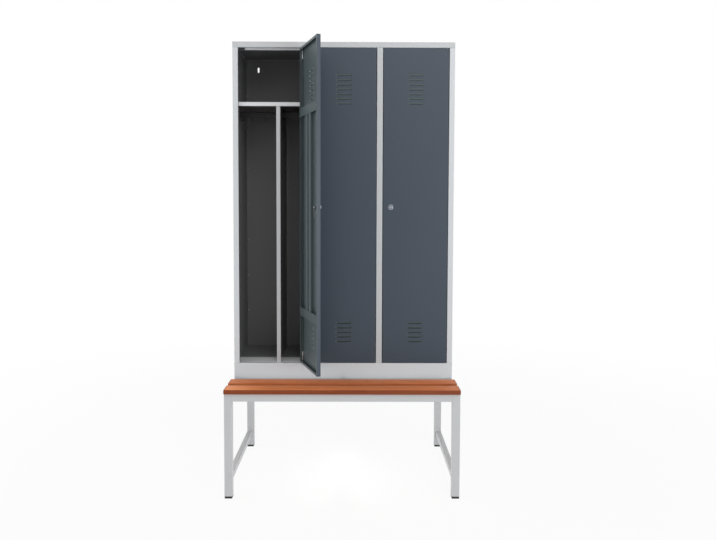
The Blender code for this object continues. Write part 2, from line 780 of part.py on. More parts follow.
def hinge_pin(name, end, way, hinge):
    """A pin that the door turns on, with a bent tail to draw it by."""
    curve = bpy.data.curves.new(name, "CURVE")
    curve.dimensions = "3D"
    curve.bevel_depth = PIN_RADIUS
    curve.bevel_resolution = PIN_ROUND_STEPS
    curve.use_fill_caps = True
    route = pin_route(end, way)
    spline = curve.splines.new("POLY")
    spline.points.add(len(route) - 1)
    for point, place in zip(spline.points, route):
        point.co = (*place, 1.0)
    pin = bpy.data.objects.new(name, curve)
    bpy.context.collection.objects.link(pin)
    pin.parent = hinge
    curve.materials.append(finish(name, ZINC, 0.3, 1.0))
    return pin


def pin_bracket(height, way):
    """An angle welded inside the door's skin, which steadies a hinge pin."""
    skin = -HINGE_SETBACK + DOOR_SHEET / 2
    path = [
        (skin, height + way * BRACKET_FLANGE),
        (skin, height),
        (DOOR_REAR_Y - DOOR_LIP / 2, height),
    ]
    outline = fold(path if way > 0 else path[::-1], sheet=BRACKET_SHEET)
    half = BRACKET_WIDTH / 2
    return extrude(outline, "X", -half, half)


def door_stiffener(name, hinge):
    """The channel on the inside of the door, with a strap across the door's lips at each end."""
    skin = -HINGE_SETBACK + DOOR_SHEET + SEAT_GAP
    seat = DOOR_REAR_Y + SEAT_GAP
    crest = seat + STRAP_SHEET / 2
    groove = crest - STIFFENER_GROOVE_DEPTH
    middle = HINGE_INSET - DOOR_WIDTH / 2
    inner = STIFFENER_GROOVE / 2
    outer = inner + STIFFENER_RIDGE
    half_path = [
        (outer + STIFFENER_FLANGE, skin + SHEET),
        (outer, skin + SHEET),
        (outer, crest),
        (inner, crest),
        (inner, groove),
    ]
    path = [(middle + x, y) for x, y in half_path]
    path += [(middle - x, y) for x, y in reversed(half_path)]
    bottom, top = STIFFENER_BOTTOM, DOOR_HEIGHT - STIFFENER_TOP
    shape = extrude(fold(path), "Z", bottom, top)
    stiffener = add_piece(name, shape, finish(name, ANTHRACITE, 0.4), hinge)
    low_x, high_x = DOOR_FREE_X + STRAP_SIDE_GAP, HINGE_INSET - STRAP_SIDE_GAP
    straps = []
    for start in (bottom - STRAP_HEIGHT / 2, top - STRAP_HEIGHT / 2):
        low = (low_x, seat, start)
        straps.append(block(low, (high_x, seat + STRAP_SHEET, start + STRAP_HEIGHT)))
    carve(stiffener, together(straps), "UNION")
    return stiffener


def lock_housing(name, hinge):
    """The lock's body: a round rosette, a barrel through the door and a nut behind the skin."""
    skin = -HINGE_SETBACK + DOOR_SHEET + SEAT_GAP
    centre = (0.0, 0.0)
    rear = CAM_FRONT - SEAT_GAP
    rosette = rod(LOCK_FLANGE_RADIUS, centre, LOCK_FACE, LOCK_FACE + LOCK_FLANGE, "Y", LOCK_SIDES)
    rim = [v for v in rosette.verts if v.co.y < LOCK_FACE + LOCK_FLANGE / 2]
    rim_edges = [e for e in rosette.edges if all(v in rim for v in e.verts)]
    bmesh.ops.bevel(
        rosette,
        geom=rim_edges,
        offset=LOCK_RIM,
        offset_type="OFFSET",
        segments=2,
        profile=0.5,
        affect="EDGES",
        material=-1,
    )
    housing = add_piece(
        name, rosette, finish(name, ZINC, 0.35, 0.9), hinge, (LOCK_X, 0.0, LOCK_Z), smooth=True
    )
    barrel = rod(
        LOCK_BARREL_RADIUS, centre, LOCK_FACE + LOCK_FLANGE / 2, rear, "Y", LOCK_SIDES
    )
    carve(housing, barrel, "UNION")
    carve(housing, rod(LOCK_NUT_RADIUS, centre, skin, skin + LOCK_NUT, "Y", 6), "UNION")
    bore = LOCK_CORE_RADIUS + BORE_GAP
    carve(housing, rod(bore, centre, LOCK_FACE - SHEET, rear + SHEET, "Y", LOCK_SIDES))
    return housing


def lock_core(name, hinge):
    """The core that the key turns, with its keyway and the square end that drives the cam."""
    front = LOCK_FACE - LOCK_CORE_PROUD
    rear = CAM_FRONT - SEAT_GAP
    shape = rod(LOCK_CORE_RADIUS, (0.0, 0.0), front, rear, "Y", LOCK_SIDES)
    core = add_piece(
        name, shape, finish(name, ZINC, 0.3, 0.9), hinge, (LOCK_X, 0.0, LOCK_Z), smooth=True
    )
    half = CAM_SQUARE / 2
    end = CAM_FRONT + CAM_THICKNESS + SEAT_GAP
    carve(core, block((-half, rear - SHEET, -half), (half, end, half)), "UNION")
    across, up = KEYWAY_WIDTH / 2, KEYWAY_HEIGHT / 2
    low = (-across, front - SHEET, -up)
    carve(core, block(low, (across, front + KEYWAY_DEPTH, up)))
    return core


def lock_cam(name, hinge):
    """The flat cam that points down when the door is free and reaches behind the frame at 90."""
    half, tip = CAM_WIDTH / 2, -CAM_LENGTH
    turns = [math.pi * k / CAM_STEPS for k in range(CAM_STEPS + 1)]
    outline = [(half * math.cos(turn), half * math.sin(turn)) for turn in turns]
    outline += [(-half, tip + half), (-half / 2, tip), (half / 2, tip), (half, tip + half)]
    shape = extrude(outline, "Y", CAM_FRONT, CAM_FRONT + CAM_THICKNESS)
    cam = add_piece(name, shape, finish(name, ZINC, 0.4, 0.9), hinge, (LOCK_X, 0.0, LOCK_Z))
    hole = CAM_SQUARE / 2 + SEAT_GAP
    low = (-hole, CAM_FRONT - SHEET, -hole)
    carve(cam, block(low, (hole, CAM_FRONT + CAM_THICKNESS + SHEET, hole)))
    return cam


# Bench frame


def tube(axis, centre, low, high, width, height):
    """A solid bar with the outside of a tube that has round corners."""
    return extrude(rounded_square(centre, width, height, TUBE_CORNER + TUBE_WALL), axis, low, high)


def bore(axis, centre, low, high, width, height):
    """The space inside a tube of the same outside size."""
    ring = rounded_square(
        centre, width - 2 * TUBE_WALL, height - 2 * TUBE_WALL, TUBE_CORNER, steps=1
    )
    return extrude(ring, axis, low, high)


def side_frame(name, side, bench):
    """A welded side of the frame: two legs, the tube that ties their tops and a low stretcher."""
    x = side * (HALF_WIDTH - LEG / 2)
    low_x = side * (HALF_WIDTH - STRETCHER / 2)
    bottom = FOOT_HEIGHT + SEAT_GAP
    top_z = FRAME_TOP - LEG / 2
    low_z = STRETCHER_TOP - STRETCHER / 2
    legs = [((x, y), LEG, LEG) for y in (LEG / 2, REAR_LEG)]
    spans = [((x, top_z), LEG, LEG), ((low_x, low_z), STRETCHER, STRETCHER)]
    outers = [tube("Z", centre, bottom, FRAME_TOP, *size) for centre, *size in legs]
    outers += [tube("Y", centre, LEG / 2, REAR_LEG, *size) for centre, *size in spans]
    bores = [bore("Z", c, bottom - SHEET, FRAME_TOP - TUBE_WALL, *size) for c, *size in legs]
    bores += [bore("Y", centre, LEG / 2, REAR_LEG, *size) for centre, *size in spans]
    frame = add_piece(name, outers[0], finish(name, LIGHT_GREY), bench)
    for outer in outers[1:]:
        carve(frame, outer, "UNION")
    for hollow in bores:
        carve(frame, hollow)
    low, high = top_z - LEG, FRAME_TOP + LEG
    drill = screw_holes(x, 0.0, BENCH_REACH)
    for bolt_x, y in bolt_places(side):
        drill.append(rod(BOLT_RADIUS + BORE_GAP, (bolt_x, BENCH_REACH + y), low, high))
    carve(frame, together(drill))
    return frame


def slat_middles():
    """Y of the middle of each slat."""
    first = SLAT_DEPTH / 2 - SLAT_OVERHANG
    return [first + k * (SLAT_DEPTH + SLAT_GAP) for k in range(SLAT_COUNT)]


def screw_holes(x, near, far):
    """Cutters for the slats' screws that stand between two places in Y, down through a tube."""
    bore_radius = SCREW_RADIUS + BORE_GAP
    low, high = FRAME_TOP - 2 * LEG, FRAME_TOP + LEG
    rows = [y for y in slat_middles() if near + bore_radius < y < far - bore_radius]
    return [rod(bore_radius, (x, y), low, high) for y in rows]


def cross_tube(name, y, bench):
    """A tube across the frame, level with its top."""
    reach = HALF_WIDTH - LEG - SEAT_GAP
    centre = (y, FRAME_TOP - LEG / 2)
    beam = add_piece(
        name, tube("X", centre, -reach, reach, LEG, LEG), finish(name, LIGHT_GREY), bench
    )
    carve(beam, bore("X", centre, -reach - SHEET, reach + SHEET, LEG, LEG))
    drill = screw_holes(0.0, y - LEG / 2, y + LEG / 2)
    if drill:
        carve(beam, together(drill))
    return beam


def centre_bearer(bench):
    """The tube that carries the slats in the middle."""
    front, rear = LEG + SEAT_GAP, BENCH_REACH - SEAT_GAP
    centre = (0.0, FRAME_TOP - BEARER_HEIGHT / 2)
    size = (BEARER_WIDTH, BEARER_HEIGHT)
    shape = tube("Y", centre, front, rear, *size)
    beam = add_piece("centre_bearer", shape, finish("centre_bearer", LIGHT_GREY), bench)
    carve(beam, bore("Y", centre, front - SHEET, rear + SHEET, *size))
    carve(beam, together(screw_holes(0.0, front, rear)))
    return beam


def slat(name, number, bench):
    """A wooden slat with rounded edges and blind holes for its screws."""
    middle = slat_middles()[number]
    half = SLAT_DEPTH / 2
    low = (-HALF_WIDTH, middle - half, SEAT_TOP - SLAT_THICKNESS)
    board = add_piece(
        name, block(low, (HALF_WIDTH, middle + half, SEAT_TOP)), finish(name, WOOD, 0.35), bench
    )
    soften(board, SLAT_ROUND, segments=3)
    bottom = SEAT_TOP - SLAT_THICKNESS
    depth = SCREW_INTO_SLAT + BORE_GAP
    side = HALF_WIDTH - LEG / 2
    holes = [
        rod(SCREW_RADIUS + BORE_GAP, (x, middle), bottom - SHEET, bottom + depth)
        for x in (-side, 0.0, side)
    ]
    carve(board, together(holes))
    return board


def locker_bolt(name, place, bench):
    """A bolt that comes up through the frame into the angle inside the locker's foot."""
    x, y = place
    under = FRAME_TOP - LEG - SEAT_GAP
    tip = LOCKER_BASE + SEAT_GAP + BASE_ANGLE_SHEET + BOLT_END
    head = rod(BOLT_HEAD_RADIUS, (0.0, 0.0), under - BOLT_HEAD, under, sides=6)
    centre = (x, BENCH_REACH + y, 0.0)
    bolt = add_piece(name, head, finish(name, ZINC, 0.35, 1.0), bench, centre, smooth=True)
    carve(bolt, rod(BOLT_RADIUS, (0.0, 0.0), under - BOLT_HEAD / 2, tip), "UNION")
    return bolt


def foot_cap(name, side, y, bench):
    """A plastic foot: a chamfered pad with the plug that fills the end of the leg."""
    half = FOOT_WIDTH / 2
    shape = block((-half, -half, 0.0), (half, half, FOOT_HEIGHT))
    top = max(shape.faces, key=lambda f: f.calc_center_median().z)
    plug_half = LEG / 2 - TUBE_WALL - PLUG_GAP
    bmesh.ops.inset_region(shape, faces=[top], thickness=half - plug_half, use_even_offset=True)
    grown = bmesh.ops.extrude_face_region(shape, geom=[top])
    moved = [v for v in grown["geom"] if isinstance(v, bmesh.types.BMVert)]
    bmesh.ops.translate(shape, vec=(0.0, 0.0, FOOT_PLUG), verts=moved)
    bmesh.ops.delete(shape, geom=[top], context="FACES_ONLY")
    ground = [e for e in shape.edges if all(v.co.z < FOOT_CHAMFER for v in e.verts)]
    bmesh.ops.bevel(
        shape,
        geom=ground,
        offset=FOOT_CHAMFER,
        offset_type="OFFSET",
        segments=2,
        profile=0.5,
        affect="EDGES",
        material=-1,
    )
    x = side * (HALF_WIDTH - LEG / 2)
    return add_piece(name, shape, finish(name, BLACK, 0.7), bench, (x, y, 0.0))


def build_locker():
    """Make the locker's body, its inside and its doors."""
    locker = empty("locker", (0.0, FRONT_Y, LOCKER_BASE))
    side_panel("side_panel_left", -1, locker)
    side_panel("side_panel_right", 1, locker)
    base_angle("base_angle_left", -1, locker)
    base_angle("base_angle_right", 1, locker)
    back_panel(locker)
    roof_panel(locker)
    plinth_panel(locker)
    floor_panel(locker)
    for post in range(BAYS - 1):
        front_post(f"post_{post + 1}", post, locker)
        divider(f"divider_{post + 1}", post, locker)
    for bay in range(BAYS):
        number = bay + 1
        hat_shelf(f"hat_shelf_{number}", bay, locker)
        partition(f"partition_{number}", bay, locker)
        coat_rail(f"coat_rail_{number}", bay, locker)
        turn = OPEN_ANGLE if OPEN_AT_REST[bay] else 0.0
        place = (hinge_x(bay), HINGE_SETBACK, DOOR_BOTTOM)
        hinge = empty(f"door_{number}_axis", place, locker, turn)
        door_panel(f"door_{number}", hinge)
        door_stiffener(f"door_stiffener_{number}", hinge)
        hinge_pin(f"hinge_pin_top_{number}", DOOR_HEIGHT + PIN_ENGAGEMENT, 1, hinge)
        hinge_pin(f"hinge_pin_bottom_{number}", -PIN_ENGAGEMENT, -1, hinge)
        lock_housing(f"lock_housing_{number}", hinge)
        lock_core(f"lock_core_{number}", hinge)
        lock_cam(f"lock_cam_{number}", hinge)


def build_bench():
    """Make the tube frame, its feet, the slats and the fasteners."""
    bench = empty("bench", (0.0, BENCH_FRONT_Y, 0.0))
    for side, word in ((-1, "left"), (1, "right")):
        side_frame(f"side_frame_{word}", side, bench)
        foot_cap(f"foot_cap_front_{word}", side, LEG / 2, bench)
        foot_cap(f"foot_cap_rear_{word}", side, REAR_LEG, bench)
        for end, place in zip(("front", "rear"), bolt_places(side)):
            locker_bolt(f"locker_bolt_{end}_{word}", place, bench)
    cross_tube("front_rail", LEG / 2, bench)
    cross_tube("middle_rail", BENCH_REACH + LEG / 2, bench)
    cross_tube("rear_rail", REAR_LEG, bench)
    centre_bearer(bench)
    for number in range(SLAT_COUNT):
        slat(f"slat_{number + 1}", number, bench)


def main():
    """Build the whole object."""
    clear_scene()
    build_locker()
    build_bench()


main()
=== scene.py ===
"""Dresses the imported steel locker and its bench, and sets a plain studio round them.

Metres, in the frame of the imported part: +Z is up, the doors face -Y and the floor is at z = 0.
"""

import json
import logging
import math
from dataclasses import dataclass
from enum import Enum
from typing import Any, ClassVar, Optional, Sequence, Union

import bmesh
import bpy
from mathutils import Matrix, Vector


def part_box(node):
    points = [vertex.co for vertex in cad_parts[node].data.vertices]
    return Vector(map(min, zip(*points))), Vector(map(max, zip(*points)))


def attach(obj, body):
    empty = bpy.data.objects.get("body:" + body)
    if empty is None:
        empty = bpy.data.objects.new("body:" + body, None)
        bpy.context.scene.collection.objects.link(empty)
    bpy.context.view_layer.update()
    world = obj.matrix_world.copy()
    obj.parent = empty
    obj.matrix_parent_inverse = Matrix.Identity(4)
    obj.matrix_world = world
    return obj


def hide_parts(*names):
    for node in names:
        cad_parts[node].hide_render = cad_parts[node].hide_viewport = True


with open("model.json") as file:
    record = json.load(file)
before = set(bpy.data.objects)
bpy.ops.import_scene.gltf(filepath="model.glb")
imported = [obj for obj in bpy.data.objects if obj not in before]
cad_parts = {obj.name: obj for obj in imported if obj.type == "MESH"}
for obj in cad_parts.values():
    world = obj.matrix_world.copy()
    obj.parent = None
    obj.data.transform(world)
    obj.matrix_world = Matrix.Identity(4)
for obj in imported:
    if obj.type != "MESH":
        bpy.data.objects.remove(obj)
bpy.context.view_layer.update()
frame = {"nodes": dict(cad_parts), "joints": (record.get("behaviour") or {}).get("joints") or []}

LOG = logging.getLogger("locker")

Colour = tuple[int, int, int]
Point = tuple[float, float, float]
Shade = tuple[float, float, float, float]

BASE_BODY = "locker_and_bench"
DOORS = (1, 2, 3)
UP = Vector((0.0, 0.0, 1.0))
LEG_WIDTH = 0.040
TOUCH = 1e-5  # lengths this near to each other count as equal
CREASE_DEG = 32.0
SATIN = 0.4

LIGHT_GREY: Colour = (203, 206, 209)
FRAME_GREY: Colour = (189, 191, 193)
# Lighter copies of the carcass grey: painted light on the hat shelves' front and the bay floors'
# front.
SHELF_LIT_GREY: Colour = (215, 217, 219)
FLOOR_LIT_GREY: Colour = (240, 241, 242)
# A darker copy of the carcass grey: painted shade on the roof's front, the posts and the
# partitions.
SHADED_EDGE_GREY: Colour = (190, 192, 194)
GREY_RUB: Colour = (158, 161, 165)
# Painted shade: darker greys that stand in for the shade inside the bays.
INSIDE_SHADE_GREY: Colour = (116, 116, 117)
WALL_SHADE_GREY: Colour = (124, 124, 125)
ANTHRACITE: Colour = (46, 58, 71)
# Painted light: a lighter copy of the door paint for the doors' inner faces.
DOOR_INSIDE_LIT: Colour = (75, 87, 90)
DARK_RUB: Colour = (92, 98, 106)
RAIL_BLACK: Colour = (30, 30, 32)
ZINC: Colour = (200, 202, 204)
NICKEL: Colour = (178, 183, 192)
CAM_STEEL: Colour = (146, 150, 156)
BLACK_PLASTIC: Colour = (27, 27, 29)
# The door pads' black, which also paints the stile's shade on the stop flange.
PAD_SHADE_BLACK: Colour = (22, 22, 23)

WHITE: Shade = (1.0, 1.0, 1.0, 1.0)
WARM_LIGHT: Point = (1.0, 0.985, 0.96)
COOL_LIGHT: Point = (0.95, 0.98, 1.0)


class Slot(Enum):
    """Names of the record's material slots, passed to add() but not used there."""

    DOOR = "door_paint"
    FRAME = "frame_paint"
    ZINC = "zinc_steel"
    LOCK = "lock_nickel"
    FOOT = "foot_plastic"
    WOOD = "slat_wood"


def shade(colour: Colour) -> Shade:
    """Turn a screen colour, 0 to 255, into the linear one with alpha that a shader takes."""
    red, green, blue = (((c / 255 + 0.055) / 1.055) ** 2.4 for c in colour)
    return red, green, blue, 1.0


def new_object(name: str, data: bpy.types.ID) -> bpy.types.Object:
    """Make an object of the scene from its data."""
    made = bpy.data.objects.new(name, data)
    bpy.context.scene.collection.objects.link(made)
    return made


class Value:
    """A shader socket that takes part in Python's expressions."""

    def __init__(self, recipe: "Recipe", socket: bpy.types.NodeSocket) -> None:
        """Wrap one output of a node of the recipe."""
        self.recipe = recipe
        self.socket = socket

    def __add__(self, other: "Amount") -> "Value":
        """Add a number or a value."""
        return self.recipe.maths("ADD", self, other)

    __radd__ = __add__

    def __sub__(self, other: "Amount") -> "Value":
        """Take a number or a value away."""
        return self.recipe.maths("SUBTRACT", self, other)

    def __rsub__(self, other: "Amount") -> "Value":
        """Take this value away from a number."""
        return self.recipe.maths("SUBTRACT", other, self)

    def __mul__(self, other: "Amount") -> "Value":
        """Multiply by a number or a value."""
        return self.recipe.maths("MULTIPLY", self, other)

    __rmul__ = __mul__

    def __truediv__(self, other: "Amount") -> "Value":
        """Divide by a number or a value."""
        return self.recipe.maths("DIVIDE", self, other)

    def __rtruediv__(self, other: "Amount") -> "Value":
        """Divide a number by this value."""
        return self.recipe.maths("DIVIDE", other, self)

    def __abs__(self) -> "Value":
        """Drop the sign."""
        return self.recipe.maths("ABSOLUTE", self)

    def least(self, other: "Amount") -> "Value":
        """Give the smaller of two values."""
        return self.recipe.maths("MINIMUM", self, other)

    def most(self, other: "Amount") -> "Value":
        """Give the greater of two values."""
        return self.recipe.maths("MAXIMUM", self, other)


Amount = Union[float, Value]
Entry = Union[float, Sequence[float], Value]


class Recipe:
    """The node tree of a material or of the world, filled by expressions."""

    def __init__(self, tree: bpy.types.NodeTree) -> None:
        """Start with an empty tree."""
        self.tree = tree
        tree.nodes.clear()

    def node(
        self,
        kind: str,
        settings: Optional[dict[str, Any]] = None,
        entries: Optional[dict[Union[str, int], Entry]] = None,
        output: Union[str, int] = 0,
    ) -> Value:
        """Add one node.

        Args:
            kind: The node's type.
            settings: Its own settings, which are set first.
            entries: A number, a colour or a link for each of its inputs that isn't left alone.
            output: The output that is wanted.

        Returns:
            That output.
        """
        made = self.tree.nodes.new(kind)
        for key, setting in (settings or {}).items():
            setattr(made, key, setting)
        for key, entry in (entries or {}).items():
            if isinstance(entry, Value):
                self.tree.links.new(entry.socket, made.inputs[key])
            else:
                made.inputs[key].default_value = entry
        return Value(self, made.outputs[output])

    def ramp(self, value: Value, stops: dict[float, Colour]) -> Value:
        """Turn a value from 0 to 1 into a colour.

        Args:
            value: The value.
            stops: The colour at each of some values.

        Returns:
            The colour.
        """
        ramped = self.node("ShaderNodeValToRGB", {}, {"Fac": value}, "Color")
        elements = ramped.socket.node.color_ramp.elements
        while len(elements) < len(stops):
            elements.new(0.5)
        for element, (place, colour) in zip(elements, stops.items()):
            element.position, element.color = place, shade(colour)
        return ramped

    def maths(self, operation: str, *terms: Amount) -> Value:
        """Add one Math node."""
        return self.node("ShaderNodeMath", {"operation": operation}, dict(enumerate(terms)))

    def vector(self, operation: str, *terms: Entry, output: str = "Vector") -> Value:
        """Add one Vector Math node."""
        entries = dict(enumerate(terms))
        return self.node("ShaderNodeVectorMath", {"operation": operation}, entries, output)

    def blend(self, share: Amount, first: Entry, second: Entry) -> Value:
        """Mix two colours by a share of the second."""
        settings = {"data_type": "RGBA", "clamp_factor": True}
        return self.node("ShaderNodeMix", settings, {0: share, 6: first, 7: second}, 2)

    def clamp(self, value: Value) -> Value:
        """Hold a value between 0 and 1."""
        return self.node("ShaderNodeClamp", {}, {"Value": value})

    def axes(self, place: Value) -> tuple[Value, Value, Value]:
        """Part a vector into x, y and z."""
        return tuple(
            self.node("ShaderNodeSeparateXYZ", {}, {"Vector": place}, axis) for axis in "XYZ"
        )

    def place(self, stretch: Point = (1.0, 1.0, 1.0), shift: Point = (0.0, 0.0, 0.0)) -> Value:
        """Give the place on the object, in metres, stretched and then shifted."""
        here = self.node("ShaderNodeTexCoord", output="Object")
        entries = {"Vector": here, "Location": shift, "Scale": stretch}
        return self.node("ShaderNodeMapping", {}, entries)

    def noise(
        self, place: Value, scale: float = 1.0, detail: float = 2.0, rough: float = 0.5
    ) -> Value:
        """Give soft noise between 0 and 1, with that many cells to the metre."""
        entries = {"Vector": place, "Scale": scale, "Detail": detail, "Roughness": rough}
        return self.node("ShaderNodeTexNoise", {}, entries, "Fac")

    def bump(self, height: Value, depth: float, strength: float) -> Value:
        """Give the normal that a height from 0 to 1 makes, for a depth in metres."""
        entries = {"Height": height, "Distance": depth, "Strength": strength}
        return self.node("ShaderNodeBump", {}, entries, "Normal")

    def seen_directly(self) -> Value:
        """Give 1 for rays from the camera, from gloss and through glass."""
        rays = ("Is Camera Ray", "Is Glossy Ray", "Is Transmission Ray")
        first, second, third = (self.node("ShaderNodeLightPath", output=ray) for ray in rays)
        return first.most(second).most(third)

    def surface(self, shader: Value, end_kind: str = "ShaderNodeOutputMaterial") -> None:
        """Link a shader to the output of the tree."""
        end = self.tree.nodes.new(end_kind)
        self.tree.links.new(shader.socket, end.inputs["Surface"])

    def principled(self, **entries: Entry) -> None:
        """Add the surface shader, whose inputs are named with _ for a blank."""
        named = {key.replace("_", " "): entry for key, entry in entries.items()}
        self.surface(self.node("ShaderNodeBsdfPrincipled", {}, named))


@dataclass(frozen=True)
class PaintedLightAndShade:
    """Painted shade where a sheet faces into a bay, and painted light on a door's inner face, in a
    box.
    """

    colour: Colour
    low: Point
    high: Point = (math.inf, math.inf, math.inf)
    front_fade: float = 0.0005
    fade: float = 0.0005

    def share(self, recipe: Recipe, place: Value) -> Value:
        """Give 1 inside the box and 0 elsewhere.

        Args:
            recipe: The material's recipe.
            place: The place on the piece, with the piece turned straight.

        Returns:
            The share of this painted light and shade.
        """
        inside: Amount = 1.0
        for axis, value in enumerate(recipe.axes(place)):
            low_fade = self.front_fade if axis == 1 else self.fade
            if math.isfinite(self.low[axis]):
                inside = inside * recipe.clamp((value - self.low[axis]) / low_fade + 0.5)
            if math.isfinite(self.high[axis]):
                inside = inside * recipe.clamp((self.high[axis] - value) / self.fade + 0.5)
        return inside


@dataclass(frozen=True)
class Stand:
    """A piece's box with the piece turned straight, and how far it is turned in truth."""

    low: Vector
    high: Vector
    turn: float = 0.0
    pivot: Vector = Vector((0.0, 0.0, 0.0))

    def straight(self, recipe: Recipe) -> Value:
        """Give the place on the piece, in metres, with the piece turned straight."""
        place = recipe.place()
        if not self.turn:
            return place
        entries = {"Vector": place, "Center": self.pivot, "Angle": -self.turn}
        return recipe.node("ShaderNodeVectorRotate", {"rotation_type": "Z_AXIS"}, entries)


class Finish:
    """What the surface of a piece is made of."""

    def build(self, name: str) -> bpy.types.Material:
        """Make the material for the piece of that name."""
        material = bpy.data.materials.new(f"{name}_finish")
        material.use_nodes = True
        self.fill(Recipe(material.node_tree))
        return material

    def fill(self, recipe: Recipe) -> None:
        """Add the finish's nodes to an empty recipe."""
        raise NotImplementedError


@dataclass(frozen=True)
class PowderCoat(Finish):
    """Sprayed and baked paint on sheet steel: orange peel, faint clouds, rubbed edges, and painted
    light and shade in a box where one is given.
    """

    colour: Colour
    rubbed: Colour
    stand: Stand
    roughness: float = 0.42
    rub_width: float = 0.0011
    light_and_shade: Optional[PaintedLightAndShade] = None
    rub_share: float = 0.5
    patch_cells: float = 14.0
    patch_from: float = 0.46
    patch_gain: float = 6.0
    cloud_cells: float = 3.0
    smear_cells: Point = (26.0, 26.0, 2.2)
    peel_cells: float = 620.0
    peel_depth: float = 0.00003

    def fill(self, recipe: Recipe) -> None:
        """Add the paint, its painted light and shade, its clouds and its wear."""
        place = recipe.place()
        clouds = recipe.noise(place, self.cloud_cells, detail=4.0, rough=0.6)
        smears = recipe.noise(recipe.place(self.smear_cells), detail=5.0, rough=0.62)
        rub = self.rub(recipe)
        base: Entry = shade(self.colour)
        # Blend in the painted shade of the bays and the painted light of the doors' inner faces.
        if self.light_and_shade:
            share = self.light_and_shade.share(recipe, self.stand.straight(recipe))
            base = recipe.blend(share, base, shade(self.light_and_shade.colour))
        clouded = {"Value": 0.975 + 0.05 * clouds, "Color": base}
        tinted = recipe.node("ShaderNodeHueSaturation", {}, clouded)
        recipe.principled(
            Base_Color=recipe.blend(rub * self.rub_share, tinted, shade(self.rubbed)),
            Roughness=self.roughness - 0.05 + 0.06 * clouds + 0.08 * smears - 0.08 * rub,
            Normal=recipe.bump(recipe.noise(place, self.peel_cells), self.peel_depth, 0.6),
        )

    def rub(self, recipe: Recipe) -> Value:
        """Give 1 along the worn stretches of the piece's outer edges and 0 on its faces.

        Args:
            recipe: The material's recipe.

        Returns:
            The share of wear.
        """
        low, high = self.stand.low, self.stand.high
        place = self.stand.straight(recipe)
        away = recipe.vector("ABSOLUTE", recipe.vector("SUBTRACT", place, (low + high) / 2))
        a, b, c = recipe.axes(recipe.vector("SUBTRACT", (high - low) / 2, away))
        second = a.least(b).most(a.most(b).least(c))
        edge = recipe.clamp(1.0 - second / self.rub_width)
        patches = recipe.noise(place, self.patch_cells, detail=4.0, rough=0.7)
        return edge * recipe.clamp((patches - self.patch_from) * self.patch_gain)


@dataclass(frozen=True)
class Timber(Finish):
    """Varnished red-brown hardwood, with its grain along the slat."""

    stand: Stand
    shift: Point
    shade_and_end_grain_share: float = 0.85
    highlight_from: float = math.inf
    highlight_fade: float = 0.2
    highlight_share: float = 0.85
    dark: Colour = (160, 80, 42)
    middle: Colour = (224, 130, 76)
    light: Colour = (240, 156, 100)
    # Painted highlight on the top of the front slat, towards its left end.
    pale: Colour = (255, 160, 98)
    # Painted shade on the faces below the slat's top, also darkening the end grain at its ends.
    edge: Colour = (98, 36, 12)
    roughness: float = 0.46
    shine: float = 0.22
    ring_cells: float = 26.0
    ring_stretch: Point = (0.55, 1.0, 1.0)
    streak_cells: Point = (3.0, 95.0, 95.0)
    pore_cells: Point = (38.0, 1500.0, 1500.0)
    pore_from: float = 0.62
    pore_gain: float = 7.0
    pore_share: float = 0.45
    pore_depth: float = 0.00012
    top_width: float = 0.0001
    top_fade: float = 0.0009
    side_width: float = 0.005
    side_fade: float = 0.003
    end_width: float = 0.006
    end_fade: float = 0.002

    def fill(self, recipe: Recipe) -> None:
        """Add the grain, the pores, a painted highlight at one end of the top, and painted shade
        on the faces below the top, which also darkens the end grain.
        """
        wave = {"wave_type": "RINGS", "rings_direction": "X", "wave_profile": "SAW"}
        log = {"Vector": recipe.place(self.ring_stretch, self.shift), "Scale": self.ring_cells}
        waver = {"Distortion": 5.0, "Detail": 3.0, "Detail Scale": 1.4, "Detail Roughness": 0.6}
        rings = recipe.node("ShaderNodeTexWave", wave, log | waver, "Fac")
        streaks = recipe.noise(recipe.place(self.streak_cells, self.shift), detail=5.0, rough=0.6)
        pores = recipe.noise(recipe.place(self.pore_cells, self.shift), detail=1.0, rough=0.4)
        pore = recipe.clamp((pores - self.pore_from) * self.pore_gain)
        tone = recipe.clamp(0.16 * rings + 1.05 * streaks - 0.12)
        grain = recipe.ramp(tone, {0.12: self.dark, 0.5: self.middle, 0.86: self.light})
        wood = recipe.blend(pore * self.pore_share, grain, shade(self.dark))
        low, high = self.stand.low, self.stand.high
        middle, half = (low.y + high.y) / 2, (high.y - low.y) / 2
        x, y, z = recipe.axes(recipe.place())
        # Painted shade: the faces below the top get darker; the ends darken as end grain and
        # painted shade.
        below = recipe.clamp((high.z - self.top_width - z) / self.top_fade)
        # Painted highlight: the top grows paler towards one end.
        if math.isfinite(self.highlight_from):
            pale = recipe.clamp((-self.highlight_from - x) / self.highlight_fade) * (1.0 - below)
            wood = recipe.blend(pale * self.highlight_share, wood, shade(self.pale))
        beside = recipe.clamp((abs(y - middle) - half + self.side_width) / self.side_fade)
        ends = recipe.clamp((abs(x) - high.x + self.end_width) / self.end_fade)
        edges = (below * beside).most(ends) * self.shade_and_end_grain_share
        recipe.principled(
            Base_Color=recipe.blend(edges, wood, shade(self.edge)),
            Roughness=self.roughness + 0.1 * streaks + 0.12 * pore,
            Specular_IOR_Level=self.shine,
            Normal=recipe.bump(1.0 - pore * 0.7 - streaks * 0.2, self.pore_depth, 0.6),
        )


